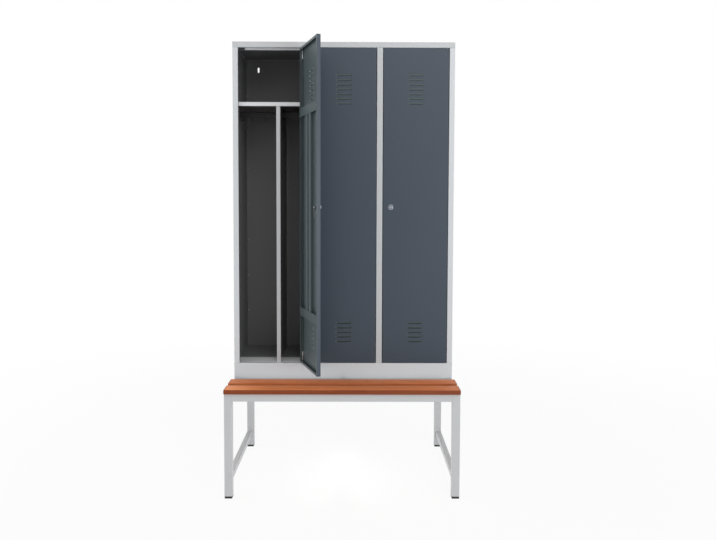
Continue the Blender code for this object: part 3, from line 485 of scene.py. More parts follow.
@dataclass(frozen=True)
class PlatedSteel(Finish):
    """Plated steel with faint clouds in its gloss."""

    colour: Colour
    roughness: float = 0.3
    fog: float = 0.16
    dulling: float = 0.86
    dull_share: float = 0.6
    cloud_cells: float = 220.0
    grain_cells: float = 1400.0
    grain_depth: float = 0.00001

    def fill(self, recipe: Recipe) -> None:
        """Add the metal with its clouds and its fine grain."""
        place = recipe.place()
        clouds = recipe.noise(place, self.cloud_cells, detail=4.0, rough=0.65)
        dull = shade(tuple(int(c * self.dulling) for c in self.colour))
        recipe.principled(
            Base_Color=recipe.blend(clouds * self.dull_share, shade(self.colour), dull),
            Metallic=1.0,
            Roughness=self.roughness + self.fog * clouds,
            Normal=recipe.bump(recipe.noise(place, self.grain_cells), self.grain_depth, 0.5),
        )


@dataclass(frozen=True)
class Moulded(Finish):
    """Black plastic or rubber with a fine grain and some dust."""

    colour: Colour
    roughness: float = 0.55
    grain_cells: float = 1500.0
    grain_depth: float = 0.00004
    dust_cells: float = 60.0
    dust_gain: float = 1.6
    dust_tint: int = 26

    def fill(self, recipe: Recipe) -> None:
        """Add the plastic with its dust and its grain."""
        place = recipe.place()
        dust = recipe.noise(place, self.dust_cells, detail=4.0, rough=0.7)
        dusted = recipe.clamp((dust - 0.5) * self.dust_gain)
        pale = shade(tuple(min(255, c + self.dust_tint) for c in self.colour))
        recipe.principled(
            Base_Color=recipe.blend(dusted, shade(self.colour), pale),
            Roughness=self.roughness + 0.14 * dust,
            Normal=recipe.bump(recipe.noise(place, self.grain_cells), self.grain_depth, 0.5),
        )


@dataclass(frozen=True)
class FloorPaint(Finish):
    """The studio's floor, which is white in the picture but for the object's shadow."""

    colour: Colour = (242, 242, 242)
    shadow_share: float = 0.1
    shadow_full: float = 0.6
    shadow_reach: float = 2.6

    def fill(self, recipe: Recipe) -> None:
        """Add matt paint that glows where it is seen, less so near the object."""
        away = recipe.vector("LENGTH", recipe.place(), output="Value")
        near = recipe.clamp(1.0 + self.shadow_full - away / self.shadow_reach)
        matt = recipe.node("ShaderNodeBsdfDiffuse", {}, {"Color": shade(self.colour)})
        glow = recipe.node("ShaderNodeEmission", {}, {"Strength": 1.0})
        share = recipe.seen_directly() * (1.0 - near * self.shadow_share)
        recipe.surface(recipe.node("ShaderNodeMixShader", {}, {0: share, 1: matt, 2: glow}))


class Shape:
    """A mesh in the making, shaped by operators along its own +Z and then set in place."""

    def __init__(self) -> None:
        """Start with nothing."""
        self.mesh = bmesh.new()
        self.cap: Optional[bmesh.types.BMFace] = None

    @classmethod
    def block(cls, low: Vector, high: Vector, round_off: float, steps: int) -> "Shape":
        """Make a box with rounded edges between two corners.

        Args:
            low: Its lowest corner.
            high: Its highest corner.
            round_off: The radius of its edges.
            steps: How many faces a rounded edge has.

        Returns:
            The shape.
        """
        shape = cls()
        bmesh.ops.create_cube(shape.mesh, size=1.0)
        bmesh.ops.scale(shape.mesh, vec=high - low, verts=shape.mesh.verts)
        bmesh.ops.translate(shape.mesh, vec=(low + high) / 2, verts=shape.mesh.verts)
        shape.bevel(shape.mesh.edges[:], round_off, steps)
        return shape

    @classmethod
    def disc(cls, radius: float, height: float, sides: int) -> "Shape":
        """Make a cylinder or a prism on +Z, with its foot at 0.

        Args:
            radius: Its radius.
            height: Its height.
            sides: How many sides it has.

        Returns:
            The shape.
        """
        shape = cls()
        bmesh.ops.create_cone(
            shape.mesh, cap_ends=True, segments=sides, radius1=radius, radius2=radius, depth=height
        )
        bmesh.ops.translate(shape.mesh, vec=UP * height / 2, verts=shape.mesh.verts)
        return shape

    @classmethod
    def ring(cls, inner: float, outer: float, thickness: float, sides: int = 32) -> "Shape":
        """Make a flat washer on +Z, with its foot at 0.

        Args:
            inner: The radius of its hole.
            outer: Its own radius.
            thickness: Its thickness.
            sides: How many sides it has.

        Returns:
            The shape.
        """
        shape = cls()
        for radius in (inner, outer):
            bmesh.ops.create_circle(shape.mesh, segments=sides, radius=radius)
        bmesh.ops.bridge_loops(shape.mesh, edges=shape.mesh.edges[:])
        grown = bmesh.ops.extrude_face_region(shape.mesh, geom=shape.mesh.faces[:])
        moved = [v for v in grown["geom"] if isinstance(v, bmesh.types.BMVert)]
        bmesh.ops.translate(shape.mesh, vec=UP * thickness, verts=moved)
        return shape

    @classmethod
    def wire(cls, radius: float, sides: int = 20) -> "Shape":
        """Start a round bar at the origin, which grows by run() and turn()."""
        shape = cls()
        bmesh.ops.create_circle(shape.mesh, cap_ends=True, segments=sides, radius=radius)
        shape.cap = next(iter(shape.mesh.faces))
        return shape

    def run(self, step: Vector, swell: float = 1.0) -> None:
        """Grow the end of a bar straight on.

        Args:
            step: How far it grows.
            swell: By how much its end gets thicker.
        """
        face = self.cap
        covered = any(len(edge.link_faces) > 1 for edge in face.edges)
        grown = bmesh.ops.extrude_face_region(self.mesh, geom=[face])
        if covered:
            bmesh.ops.delete(self.mesh, geom=[face], context="FACES_ONLY")
        cap = next(f for f in grown["geom"] if isinstance(f, bmesh.types.BMFace))
        bmesh.ops.translate(self.mesh, vec=step, verts=cap.verts[:])
        if swell != 1.0:
            about = Matrix.Translation(-cap.calc_center_median())
            bmesh.ops.scale(self.mesh, vec=(swell,) * 3, space=about, verts=cap.verts[:])
        self.cap = cap

    def turn(self, centre: Vector, axis: Vector, angle: float, steps: int = 8) -> None:
        """Grow the end of a bar round a bend.

        Args:
            centre: A point on the bend's axis.
            axis: The direction of that axis.
            angle: How far the bar turns, in radians.
            steps: How many straight lengths the bend has.
        """
        for _ in range(steps):
            self.run(Vector((0.0, 0.0, 0.0)))
            matrix = Matrix.Rotation(angle / steps, 3, axis)
            bmesh.ops.rotate(self.mesh, cent=centre, matrix=matrix, verts=self.cap.verts[:])

    def bevel(self, edges: Sequence[bmesh.types.BMEdge], width: float, steps: int) -> None:
        """Round some edges.

        Args:
            edges: The edges.
            width: The width of the rounding.
            steps: How many faces it has.
        """
        bmesh.ops.bevel(
            self.mesh,
            geom=list(edges),
            offset=width,
            offset_type="OFFSET",
            segments=steps,
            profile=0.5,
            affect="EDGES",
            material=-1,
        )

    def top_rim(self) -> list[bmesh.types.BMEdge]:
        """Give the edges round the top."""
        top = max(v.co.z for v in self.mesh.verts)
        return [e for e in self.mesh.edges if all(v.co.z > top - TOUCH for v in e.verts)]

    def round_top(self, width: float, steps: int = 2) -> None:
        """Round the edges round the top."""
        self.bevel(self.top_rim(), width, steps)

    def add(self, other: "Shape") -> "Shape":
        """Join another shape's mesh to this one, and free the other.

        Args:
            other: A shape that isn't used any more after this.

        Returns:
            This shape.
        """
        held = bpy.data.meshes.new("held")
        other.mesh.to_mesh(held)
        other.mesh.free()
        self.mesh.from_mesh(held)
        bpy.data.meshes.remove(held)
        return self

    def set_at(self, place: Point, facing: Point = (0.0, 0.0, 1.0)) -> "Shape":
        """Turn the shape's +Z to a direction, set its origin at a place, and return it."""
        turn = UP.rotation_difference(Vector(facing)).to_matrix().to_4x4()
        return self.moved(Matrix.Translation(place) @ turn)

    def moved(self, matrix: Matrix) -> "Shape":
        """Move the shape by a matrix, and return it."""
        bmesh.ops.transform(self.mesh, matrix=matrix, verts=self.mesh.verts)
        return self

    def finished(self, name: str) -> bpy.types.Object:
        """Turn the shape into an object of the scene.

        Args:
            name: The object's name.

        Returns:
            The object.
        """
        bmesh.ops.recalc_face_normals(self.mesh, faces=self.mesh.faces)
        mesh = bpy.data.meshes.new(name)
        self.mesh.to_mesh(mesh)
        self.mesh.free()
        mesh.shade_smooth()
        mesh.set_sharp_from_angle(angle=math.radians(CREASE_DEG))
        return new_object(name, mesh)


class SubAssembly:
    """A group of pieces that ride on one body of the record."""

    body: str = BASE_BODY

    def stand(self, node: str) -> Stand:
        """Give the stand of one of the group's nodes."""
        return Stand(*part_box(node))

    def add(
        self, name: str, shape: Shape, finish: Finish, slot: Slot, stands_for: Sequence[str] = ()
    ) -> None:
        """Add a new piece to the body.

        Args:
            name: The piece's name.
            shape: Its shape, in the row frame.
            finish: What it is made of.
            slot: The record's slot for the finish; not used.
            stands_for: The CAD nodes that it is shown in place of.
        """
        piece = shape.finished(name)
        piece.data.materials.append(finish.build(name))
        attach(piece, self.body)
        if stands_for:
            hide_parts(*stands_for)
        LOG.info("%s: %d faces on %s", name, len(piece.data.polygons), self.body)

    @staticmethod
    def dress(node: str, finish: Finish) -> None:
        """Put one finish on all of a CAD node.

        Args:
            node: The node's name.
            finish: What it is made of.
        """
        material = finish.build(node)
        mesh = frame["nodes"][node].data
        mesh.materials.clear()
        mesh.materials.append(material)
        LOG.info("%s keeps its CAD mesh with %s", node, material.name)


def nodes_named(*starts: str) -> list[str]:
    """List the CAD nodes whose names start in one of some ways."""
    return sorted(n for n in frame["nodes"] if n.startswith(starts))


@dataclass
class Carcass(SubAssembly):
    """The folded locker body, its inside with painted shade, its rivets and its door pads."""

    # Colour, rubbed colour, and whether the sheet gets painted shade inside the bay.
    PAINTS: ClassVar[dict[str, tuple[Colour, Colour, bool]]] = {
        "side_panel": (LIGHT_GREY, GREY_RUB, True),
        "roof_panel": (SHADED_EDGE_GREY, GREY_RUB, True),
        "back_panel": (LIGHT_GREY, GREY_RUB, True),
        "divider": (LIGHT_GREY, GREY_RUB, True),
        "partition": (SHADED_EDGE_GREY, GREY_RUB, True),
        "hat_shelf": (SHELF_LIT_GREY, GREY_RUB, True),
        "floor_panel": (FLOOR_LIT_GREY, GREY_RUB, True),
        "plinth_panel": (LIGHT_GREY, GREY_RUB, False),
        "post_": (SHADED_EDGE_GREY, GREY_RUB, False),
        "base_angle": (LIGHT_GREY, GREY_RUB, False),
        "coat_rail": (RAIL_BLACK, DARK_RUB, False),
    }

    # Where the painted shade starts behind the front of each sheet; on the bay floor its soft edge
    # stands for a cast shadow's edge.
    stile_edge: float = 0.003
    stile_fade: float = 0.005
    top_rail_edge: float = 0.0236
    partition_edge: float = 0.0125
    divider_edge: float = 0.0196
    floor_edge: float = 0.15
    floor_fade: float = 0.03
    rivets: int = 7
    rivet_radius: float = 0.0028
    rivet_height: float = 0.0009
    rivet_dome: float = 0.8
    rivet_from_wall: float = 0.0072
    # The pads' size and black also paint the stile's shade on the stop flange.
    pad_size: Point = (0.034, 0.0015, 0.0095)
    pad_round: float = 0.0006
    pad_gap: float = 0.002
    pad_from_edge: float = -0.001
    pad_foot: float = 2.3145

    def __post_init__(self) -> None:
        """Read the locker's planes from the CAD nodes."""
        low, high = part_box("side_panel_left")
        self.front, self.roof = low.y, high.z
        self.half_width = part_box("side_panel_right")[1].x
        self.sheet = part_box("back_panel")[1].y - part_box("back_panel")[0].y

    def build(self) -> None:
        """Dress the body and add its small pieces."""
        for start, (colour, rubbed, is_shaded) in self.PAINTS.items():
            for node in nodes_named(start):
                light_and_shade = self.painted_shade_of(node) if is_shaded else None
                self.dress(node, PowderCoat(colour, rubbed, self.stand(node), light_and_shade=light_and_shade))
        self.add_rivets()
        self.add_shade_pads()

    def painted_shade_of(self, node: str) -> PaintedLightAndShade:
        """Say which part of a sheet gets painted shade, where it faces the inside of a bay.

        Args:
            node: The sheet's node.

        Returns:
            The box of painted shade.
        """
        far, half = math.inf, self.sheet / 2
        low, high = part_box(node)
        last = high.y - half
        # The painted shade starts just behind the stile's face, so its inner return is shaded too.
        if node.startswith("side_panel"):
            edge, start = self.half_width - half, self.front + self.stile_edge
            return PaintedLightAndShade(WALL_SHADE_GREY, (-edge, start, -far), (edge, last, far), self.stile_fade)
        if node == "roof_panel":
            start = (-far, self.front + self.top_rail_edge, -far)
            return PaintedLightAndShade(WALL_SHADE_GREY, start, (far, last, high.z - half))
        if node == "back_panel":
            return PaintedLightAndShade(INSIDE_SHADE_GREY, (-far, low.y - half, -far), (far, last, far))
        # Painted shadow on the bay floor: light at the front, dark from floor_edge back.
        if node == "floor_panel":
            start = (-far, self.front + self.floor_edge, high.z - half)
            return PaintedLightAndShade(INSIDE_SHADE_GREY, start, front_fade=self.floor_fade)
        if node.startswith("hat_shelf"):
            return PaintedLightAndShade(INSIDE_SHADE_GREY, (-far, low.y + half, -far))
        start = self.front + self.divider_edge
        if node.startswith("partition"):
            start = low.y + self.partition_edge
        return PaintedLightAndShade(WALL_SHADE_GREY, (-far, start, -far))

    def add_rivets(self) -> None:
        """Rivet the back to the flanges of the walls, seen at the left of each bay."""
        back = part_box("back_panel")[0]
        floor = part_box("floor_panel")[1].z
        rise = (self.roof - floor) / (self.rivets + 1)
        walls = [-self.half_width] + [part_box(node)[0].x for node in nodes_named("divider")]
        for bay, wall in enumerate(walls, 1):
            x = wall + self.sheet + self.rivet_from_wall
            face = back.y if bay == 1 else back.y - self.sheet
            row = Shape()
            for k in range(self.rivets):
                head = Shape.disc(self.rivet_radius, self.rivet_height, sides=20)
                head.round_top(self.rivet_height * self.rivet_dome, steps=3)
                row.add(head.set_at((x, face, floor + rise * (k + 1)), (0.0, -1.0, 0.0)))
            self.add(f"back_rivets_{bay}", row, PlatedSteel(ZINC, roughness=0.38), Slot.ZINC)

    def add_shade_pads(self) -> None:
        """Glue black rubber pads on the stop flange, where the doors' free corners meet it; their
        length and black also paint the shade that the stile casts there.
        """
        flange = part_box("door_2")[1].y + self.pad_gap
        size = Vector(self.pad_size)
        for door in DOORS:
            edge = DoorLeaf(door).shut_box(f"door_{door}")[0].x
            corner = Vector((edge + self.pad_from_edge, flange - size.y, self.pad_foot))
            pad = Shape.block(corner, corner + size, self.pad_round, steps=2)
            rubber = Moulded(PAD_SHADE_BLACK, roughness=0.7)
            self.add(f"door_pad_{door}", pad, rubber, Slot.FOOT)


@dataclass
class DoorLeaf(SubAssembly):
    """A door with its stiffener, its hinge pins and the fixed part of its lock."""

    number: int
    skin: float = 0.001
    pin_bend: float = 0.006
    pin_tip: float = 0.0012
    pin_tail: float = 0.024
    weld_radius: float = 0.003
    weld_height: float = 0.0004
    weld_dome: float = 0.7
    weld_columns: tuple[float, float] = (0.006, 0.075)
    weld_spread: float = 0.012
    strap_middle: float = 0.024
    seat_gap: float = 0.0003
    bore_gap: float = 0.0004
    rosette_edge: float = 0.0009
    barrel_wall: float = 0.0031
    nut_radius: float = 0.013
    nut_height: float = 0.004
    nut_edge: float = 0.0005

    def __post_init__(self) -> None:
        """Name the door's body and find its hinge among the joints."""
        self.body = f"door_leaf_{self.number}"
        name = f"door_{self.number}_hinge"
        joint = next(j for j in frame["joints"] if j["name"] == name)
        self.pivot = Vector(joint["pos_m"])
        self.turn = math.radians(max(0.0, -joint["range_deg"][0]))
        back = Matrix.Rotation(self.turn, 4, "Z")
        self.opened = Matrix.Translation(self.pivot) @ back @ Matrix.Translation(-self.pivot)

    def shut_box(self, node: str) -> tuple[Vector, Vector]:
        """Give the corners of one of the door's nodes with the door shut.

        Args:
            node: The node's name.

        Returns:
            Its lowest and its highest corner, in the row frame.
        """
        shut = self.opened.inverted()
        spots = [shut @ v.co for v in frame["nodes"][node].data.vertices]
        low = Vector(min(p[i] for p in spots) for i in range(3))
        high = Vector(max(p[i] for p in spots) for i in range(3))
        return low, high

    def stand(self, node: str) -> Stand:
        """Give the stand of one of the door's nodes."""
        return Stand(*self.shut_box(node), self.turn, self.pivot)

    def build(self) -> None:
        """Dress the door and add its pieces."""
        low, high = self.shut_box(f"door_{self.number}")
        half = self.skin / 2
        start = tuple(low + Vector((half, half, half)))
        # Painted light: the door's inner faces are lighter than its front.
        inside = PaintedLightAndShade(DOOR_INSIDE_LIT, start, (high.x - half, math.inf, high.z - half))
        for node in (f"door_{self.number}", f"door_stiffener_{self.number}"):
            coat = PowderCoat(ANTHRACITE, DARK_RUB, self.stand(node), SATIN, light_and_shade=inside)
            self.dress(node, coat)
        self.add_pins()
        self.add_lock()
        self.add_spot_welds()

    def add_pins(self) -> None:
        """Make both hinge pins as round bars with a bent tail."""
        for end in ("top", "bottom"):
            node = f"hinge_pin_{end}_{self.number}"
            low, high = self.shut_box(node)
            radius = (high.y - low.y) / 2
            straight = high.z - low.z - radius - self.pin_bend - self.pin_tip
            pin = Shape.wire(radius - self.pin_tip / 2)
            pin.run(UP * -self.pin_tip, radius / (radius - self.pin_tip / 2))
            pin.run(UP * -straight)
            corner = Vector((-self.pin_bend, 0.0, -self.pin_tip - straight))
            pin.turn(corner, Vector((0.0, 1.0, 0.0)), math.pi / 2)
            pin.run(Vector((self.pin_bend - self.pin_tail, 0.0, 0.0)))
            start, sign = (high.z, 1.0) if end == "top" else (low.z, -1.0)
            place = Matrix.Translation((self.pivot.x, self.pivot.y, start))
            pin.moved(self.opened @ place @ Matrix.Diagonal((1.0, 1.0, sign, 1.0)))
            name = f"bent_pin_{end}_{self.number}"
            self.add(name, pin, PlatedSteel(ZINC), Slot.ZINC, [node])

    def add_lock(self) -> None:
        """Make the lock's rosette with its barrel, and the nut behind the door's skin."""
        node = f"lock_housing_{self.number}"
        low, high = self.shut_box(node)
        core_low, core_high = self.shut_box(f"lock_core_{self.number}")
        radius, bore = (high.x - low.x) / 2, (core_high.x - core_low.x) / 2 + self.bore_gap
        centre = (low + high) / 2
        skin = self.shut_box(f"door_{self.number}")[0].y
        seat = skin - self.seat_gap
        ahead, behind = (Matrix.Rotation(turn, 4, "X") for turn in (math.pi / 2, -math.pi / 2))
        face = Shape.ring(bore, radius, seat - low.y, sides=64)
        rim = radius - TOUCH
        crown = [e for e in face.top_rim() if max(v.co.xy.length for v in e.verts) > rim]
        face.bevel(crown, self.rosette_edge, steps=3)
        face.moved(self.standing(centre, seat) @ ahead)
        barrel = Shape.ring(bore, bore + self.barrel_wall, high.y - seat, sides=48)
        barrel.moved(self.standing(centre, seat) @ behind)
        nickel = PlatedSteel(NICKEL, roughness=0.24)
        self.add(f"lock_rosette_{self.number}", face.add(barrel), nickel, Slot.LOCK, [node])
        inner = bore + self.barrel_wall + self.seat_gap
        nut = Shape.ring(inner, self.nut_radius, self.nut_height, sides=6)
        nut.round_top(self.nut_edge)
        nut.moved(self.standing(centre, skin + self.skin + self.seat_gap) @ behind)
        self.add(f"lock_nut_{self.number}", nut, PlatedSteel(ZINC, roughness=0.34), Slot.LOCK)

    def standing(self, centre: Vector, depth: float) -> Matrix:
        """Give the move that takes a shape to a depth of the leaf and opens it with the door."""
        return self.opened @ Matrix.Translation((centre.x, depth, centre.z))

    def add_spot_welds(self) -> None:
        """Mark the spot welds that hold the stiffener's straps to the door's lips."""
        node = f"door_stiffener_{self.number}"
        low, high = self.shut_box(node)
        near, far = self.weld_columns
        columns = (low.x + near, low.x + far, high.x - far, high.x - near)
        marks = Shape()
        for height in (low.z + self.strap_middle, high.z - self.strap_middle):
            for x in columns:
                for up in (-self.weld_spread, self.weld_spread):
                    mark = Shape.disc(self.weld_radius, self.weld_height, sides=16)
                    mark.round_top(self.weld_height * self.weld_dome)
                    marks.add(mark.set_at((x, high.y, height + up), (0.0, 1.0, 0.0)))
        # The welds on the inner face carry the same painted light.
        coat = PowderCoat(DOOR_INSIDE_LIT, DARK_RUB, self.stand(node), SATIN)
        self.add(f"strap_welds_{self.number}", marks.moved(self.opened), coat, Slot.DOOR)


@dataclass
class LockPlug(SubAssembly):
    """The turning core and cam of a lock, with the screw that holds the cam."""

    number: int
    head_radius: float = 0.0042
    head_height: float = 0.0016
    head_dome: float = 0.6

    def __post_init__(self) -> None:
        """Name the plug's body."""
        self.body = f"lock_plug_{self.number}"

    def build(self) -> None:
        """Dress the plug and add the cam's screw."""
        for part, colour in (("core", NICKEL), ("cam", CAM_STEEL)):
            self.dress(f"lock_{part}_{self.number}", PlatedSteel(colour, roughness=0.26))
        leaf = DoorLeaf(self.number)
        low, high = leaf.shut_box(f"lock_core_{self.number}")
        head = Shape.disc(self.head_radius, self.head_height, sides=32)
        head.round_top(self.head_height * self.head_dome, steps=3)
        place = ((low.x + high.x) / 2, high.y, (low.z + high.z) / 2)
        screw = head.set_at(place, (0.0, 1.0, 0.0)).moved(leaf.opened)
        self.add(f"cam_screw_{self.number}", screw, PlatedSteel(ZINC), Slot.LOCK)


@dataclass
class BenchFrame(SubAssembly):
    """The welded tube frame with its beads, its feet and the bolts that hold the locker."""

    tube_rub: float = 0.0025
    stretcher: float = 0.030
    stretcher_top: float = 0.099
    bead_radius: float = 0.0019
    bead_sides: int = 10
    bead_ripples: int = 14
    bead_tip: float = 0.5
    bead_swells: tuple[float, float] = (1.8, 1.12)
    bead_waist: float = 0.88
    bead_sunk: float = 0.0011
    bead_rub: float = 0.0005
    weld_gap: float = 0.00015
    angle_sheet: float = 0.002
    gap: float = 0.0001
    washer_radius: float = 0.009
    washer_height: float = 0.0014
    washer_edge: float = 0.0003
    nut_radius: float = 0.0075
    nut_height: float = 0.0036
    nut_edge: float = 0.0004
    bolt_radius: float = 0.0041

    def build(self) -> None:
        """Dress the frame and add its small pieces."""
        tubes = ("side_frame", "front_rail", "middle_rail", "rear_rail", "centre_bearer")
        for node in nodes_named(*tubes):
            self.dress(node, self.coat(node, self.tube_rub))
        for node in nodes_named("foot_cap"):
            self.dress(node, Moulded(BLACK_PLASTIC))
        for node in nodes_named("locker_bolt"):
            self.dress(node, PlatedSteel(ZINC))
            self.add_nut(node)
        self.add_stretcher_beads()
        self.add_rail_beads()

    def coat(self, node: str, rub_width: float) -> PowderCoat:
        """Give the frame's paint as it lies on a node or on its welds."""
        return PowderCoat(FRAME_GREY, GREY_RUB, self.stand(node), SATIN, rub_width)

    def add_nut(self, node: str) -> None:
        """Put a washer and a nut on a bolt that comes up into the locker's foot.

        Args:
            node: The bolt's node.
        """
        low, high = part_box(node)
        x, y, _ = (low + high) / 2
        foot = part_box("base_angle_left")[0].z + self.angle_sheet
        washer = Shape.ring(self.bolt_radius, self.washer_radius, self.washer_height)
        washer.round_top(self.washer_edge)
        nut = Shape.ring(self.bolt_radius, self.nut_radius, self.nut_height, sides=6)
        nut.round_top(self.nut_edge)
        whole = washer.set_at((x, y, foot + self.gap))
        whole.add(nut.set_at((x, y, foot + 2 * self.gap + self.washer_height)))
        name = node.replace("locker_bolt", "bolt_nut")
        self.add(name, whole, PlatedSteel(ZINC, roughness=0.34), Slot.ZINC)

    def bead(self, start: Point, end: Point) -> Shape:
        """Make a rippled weld bead between two points.

        Args:
            start: Where the bead starts.
            end: Where it ends.

        Returns:
            The bead.
        """
        along = Vector(end) - Vector(start)
        lengths = 2 * self.bead_ripples
        step = UP * (along.length / lengths)
        ripples = (self.bead_waist, 1.0 / self.bead_waist) * self.bead_ripples
        bead = Shape.wire(self.bead_radius * self.bead_tip, self.bead_sides)
        for swell in (self.bead_swells + ripples)[:lengths]:
            bead.run(step, swell)
        return bead.set_at(start, tuple(along))

    def add_rail_beads(self) -> None:
        """Weld the three rails to the side frames, with flat beads down both of their faces."""
        for node in nodes_named("front_rail", "middle_rail", "rear_rail"):
            low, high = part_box(node)
            beads = Shape()
            for x in (low.x - self.weld_gap, high.x + self.weld_gap):
                for y in (low.y + self.bead_sunk, high.y - self.bead_sunk):
                    beads.add(self.bead((x, y, low.z), (x, y, high.z - self.bead_radius)))
                beads.add(self.bead((x, low.y, low.z), (x, high.y, low.z)))
            name = node.replace("rail", "rail_welds")
            self.add(name, beads, self.coat(node, self.bead_rub), Slot.FRAME)

    def add_stretcher_beads(self) -> None:
        """Weld the low stretchers to the legs."""
        top, below = self.stretcher_top, self.stretcher_top - self.stretcher
        for word in ("left", "right"):
            node = f"side_frame_{word}"
            low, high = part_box(node)
            outer, inner = low.x, low.x + self.stretcher
            if word == "right":
                outer, inner = high.x, high.x - self.stretcher
            beads = Shape()
            for y in (low.y + LEG_WIDTH, high.y - LEG_WIDTH):
                beads.add(self.bead((inner, y, below), (inner, y, top)))
                for z in (below, top):
                    beads.add(self.bead((outer, y, z), (inner, y, z)))
            name = f"stretcher_welds_{word}"
            self.add(name, beads, self.coat(node, self.bead_rub), Slot.FRAME)


@dataclass
class Seat(SubAssembly):
    """The wooden slats and the screws that come up into them."""

    round_off: float = 0.0035
    round_steps: int = 5
    log_place: Point = (0.0, 0.13, -0.5)
    log_step: Point = (0.31, 0.07, 0.043)
    # Where the front slat's painted highlight starts.
    highlight_from: float = 0.36
    # The rear slat's share of painted shade on its faces.
    rear_slat_shade_share: float = 0.5
    head_radius: float = 0.0048
    head_height: float = 0.0024
    head_edge: float = 0.0005
    washer_radius: float = 0.0062
    washer_height: float = 0.001
    hole_radius: float = 0.0026
    gap: float = 0.0001

    def build(self) -> None:
        """Make the slats and their screws."""
        for number, node in enumerate(nodes_named("slat_"), 1):
            low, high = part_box(node)
            board = Shape.block(low, high, self.round_off, self.round_steps)
            shift = tuple(a + b * number for a, b in zip(self.log_place, self.log_step))
            # The rear slat's faces get less painted shade; the front slat gets the painted
            # highlight.
            look = {"shade_and_end_grain_share": self.rear_slat_shade_share}
            if number == 1:
                look = {"highlight_from": self.highlight_from}
            wood = Timber(self.stand(node), shift, **look)
            self.add(f"wooden_slat_{number}", board, wood, Slot.WOOD, [node])
            self.add_screws(number, (low.y + high.y) / 2)

    def add_screws(self, number: int, y: float) -> None:
        """Put in the screws of one slat that can be seen from below.

        Args:
            number: The slat's number.
            y: The middle of the slat.
        """
        leg_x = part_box("side_frame_right")[1].x - LEG_WIDTH / 2
        rail_low, rail_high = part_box("front_rail")
        places = [(0.0, rail_low.z)]
        if y >= rail_high.y:
            places = [(0.0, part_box("centre_bearer")[0].z)]
            places += [(x, rail_low.z) for x in (-leg_x, leg_x)]
        down = (0.0, 0.0, -1.0)
        screws = Shape()
        for x, z in places:
            washer = Shape.ring(self.hole_radius, self.washer_radius, self.washer_height)
            screws.add(washer.set_at((x, y, z - self.gap), down))
            head = Shape.disc(self.head_radius, self.head_height, sides=6)
            head.round_top(self.head_edge)
            screws.add(head.set_at((x, y, z - self.washer_height - self.gap), down))
        self.add(f"slat_screws_{number}", screws, PlatedSteel(ZINC, roughness=0.32), Slot.ZINC)


@dataclass(frozen=True)
class PhotoCamera:
    """The camera, at the photograph's viewpoint."""

    place: Point = (0.05661, -3.9795, 1.4966)
    turn_rad: float = 0.00569
    dip_rad: float = 0.05671
    roll_rad: float = 0.00307
    focal_px: float = 721.2
    centre_row: float = 244.05
    width_px: int = 716
    height_px: int = 540
    sensor_mm: float = 36.0
    sight_m: float = 100.0

    def build(self) -> None:
        """Make the scene's camera."""
        lens = bpy.data.cameras.new("photo_camera")
        lens.sensor_width = self.sensor_mm
        lens.lens = self.focal_px / self.width_px * self.sensor_mm
        lens.shift_y = (self.centre_row - self.height_px / 2) / self.width_px
        lens.clip_end = self.sight_m
        camera = new_object("photo_camera", lens)
        turn = Matrix.Rotation(-self.turn_rad, 4, "Z")
        dip = Matrix.Rotation(math.pi / 2 - self.dip_rad, 4, "X")
        roll = Matrix.Rotation(self.roll_rad, 4, "Z")
        camera.matrix_world = Matrix.Translation(self.place) @ turn @ dip @ roll
        bpy.context.scene.camera = camera


@dataclass(frozen=True)
class Lamp:
    """A soft box of the studio: its place, aim and size in metres, its power in watts."""

    name: str
    place: Point
    aim: Point
    size: tuple[float, float]
    power: float
    colour: Point = (1.0, 1.0, 1.0)

    def build(self) -> None:
        """Hang the lamp, turned to what it lights and out of the camera's sight."""
        light = bpy.data.lights.new(self.name, "AREA")
        light.shape = "RECTANGLE"
        light.size, light.size_y = self.size
        light.energy = self.power
        light.color = self.colour
        lamp = new_object(self.name, light)
        lamp.location = self.place
        aim = Vector(self.aim) - Vector(self.place)
        lamp.rotation_euler = aim.to_track_quat("-Z", "Y").to_euler()
        lamp.visible_camera = False


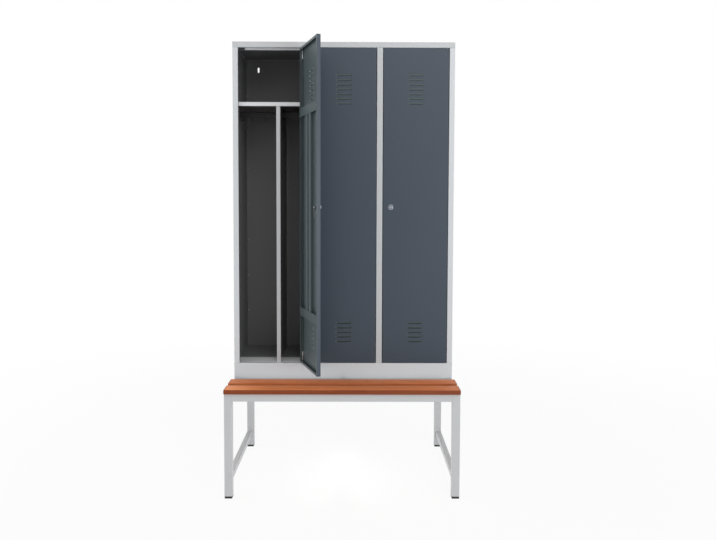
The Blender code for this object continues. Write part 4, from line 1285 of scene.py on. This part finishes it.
@dataclass(frozen=True)
class Studio:
    """The floor, the pale surroundings and the lamps."""

    ambient: float = 0.57
    floor_reach: float = 30.0
    lamps: tuple[Lamp, ...] = (
        Lamp("key_lamp", (-5.2, -3.9, 2.3), (0.0, 0.0, 1.3), (0.9, 0.9), 18.0, WARM_LIGHT),
        Lamp("high_lamp", (1.4, -4.4, 4.6), (0.1, 0.0, 0.6), (3.0, 3.0), 72.0),
        Lamp("right_lamp", (5.2, -7.8, 0.8), (0.4, 0.0, 1.0), (4.0, 3.0), 258.0, COOL_LIGHT),
        Lamp("side_lamp", (-5.5, 0.1, 1.6), (0.0, -0.3, 1.3), (3.0, 3.0), 95.0, WARM_LIGHT),
        Lamp("left_bounce", (0.0, -0.1, 0.2), (-0.6, 0.0, 0.0), (0.7, 0.16), 0.8),
        Lamp("right_bounce", (0.0, -0.1, 0.2), (0.6, 0.0, 0.0), (0.7, 0.16), 0.8),
    )

    def build(self) -> None:
        """Make the world, the floor and the lamps."""
        bpy.context.scene.view_settings.view_transform = "Standard"
        self.build_world()
        self.build_floor()
        for lamp in self.lamps:
            lamp.build()
        LOG.info("studio is lit by %d lamps", len(self.lamps))

    def build_world(self) -> None:
        """Make surroundings that look white and light the object softly."""
        world = bpy.data.worlds.new("pale_surroundings")
        world.use_nodes = True
        bpy.context.scene.world = world
        recipe = Recipe(world.node_tree)
        dim, bright = (
            recipe.node("ShaderNodeBackground", {}, {"Color": WHITE, "Strength": power})
            for power in (self.ambient, 1.0)
        )
        entries = {0: recipe.seen_directly(), 1: dim, 2: bright}
        recipe.surface(recipe.node("ShaderNodeMixShader", {}, entries), "ShaderNodeOutputWorld")

    def build_floor(self) -> None:
        """Make the floor."""
        shape = bmesh.new()
        bmesh.ops.create_grid(shape, x_segments=2, y_segments=2, size=self.floor_reach)
        mesh = bpy.data.meshes.new("studio_floor")
        shape.to_mesh(mesh)
        shape.free()
        floor = new_object("studio_floor", mesh)
        mesh.materials.append(FloorPaint().build("studio_floor"))


def main() -> None:
    """Dress the object and set the studio."""
    logging.basicConfig(level=logging.INFO, format="%(name)s: %(message)s")
    PhotoCamera().build()
    Studio().build()
    Carcass().build()
    for number in DOORS:
        DoorLeaf(number).build()
        LockPlug(number).build()
    BenchFrame().build()
    Seat().build()


if __name__ == "__main__":
    main()
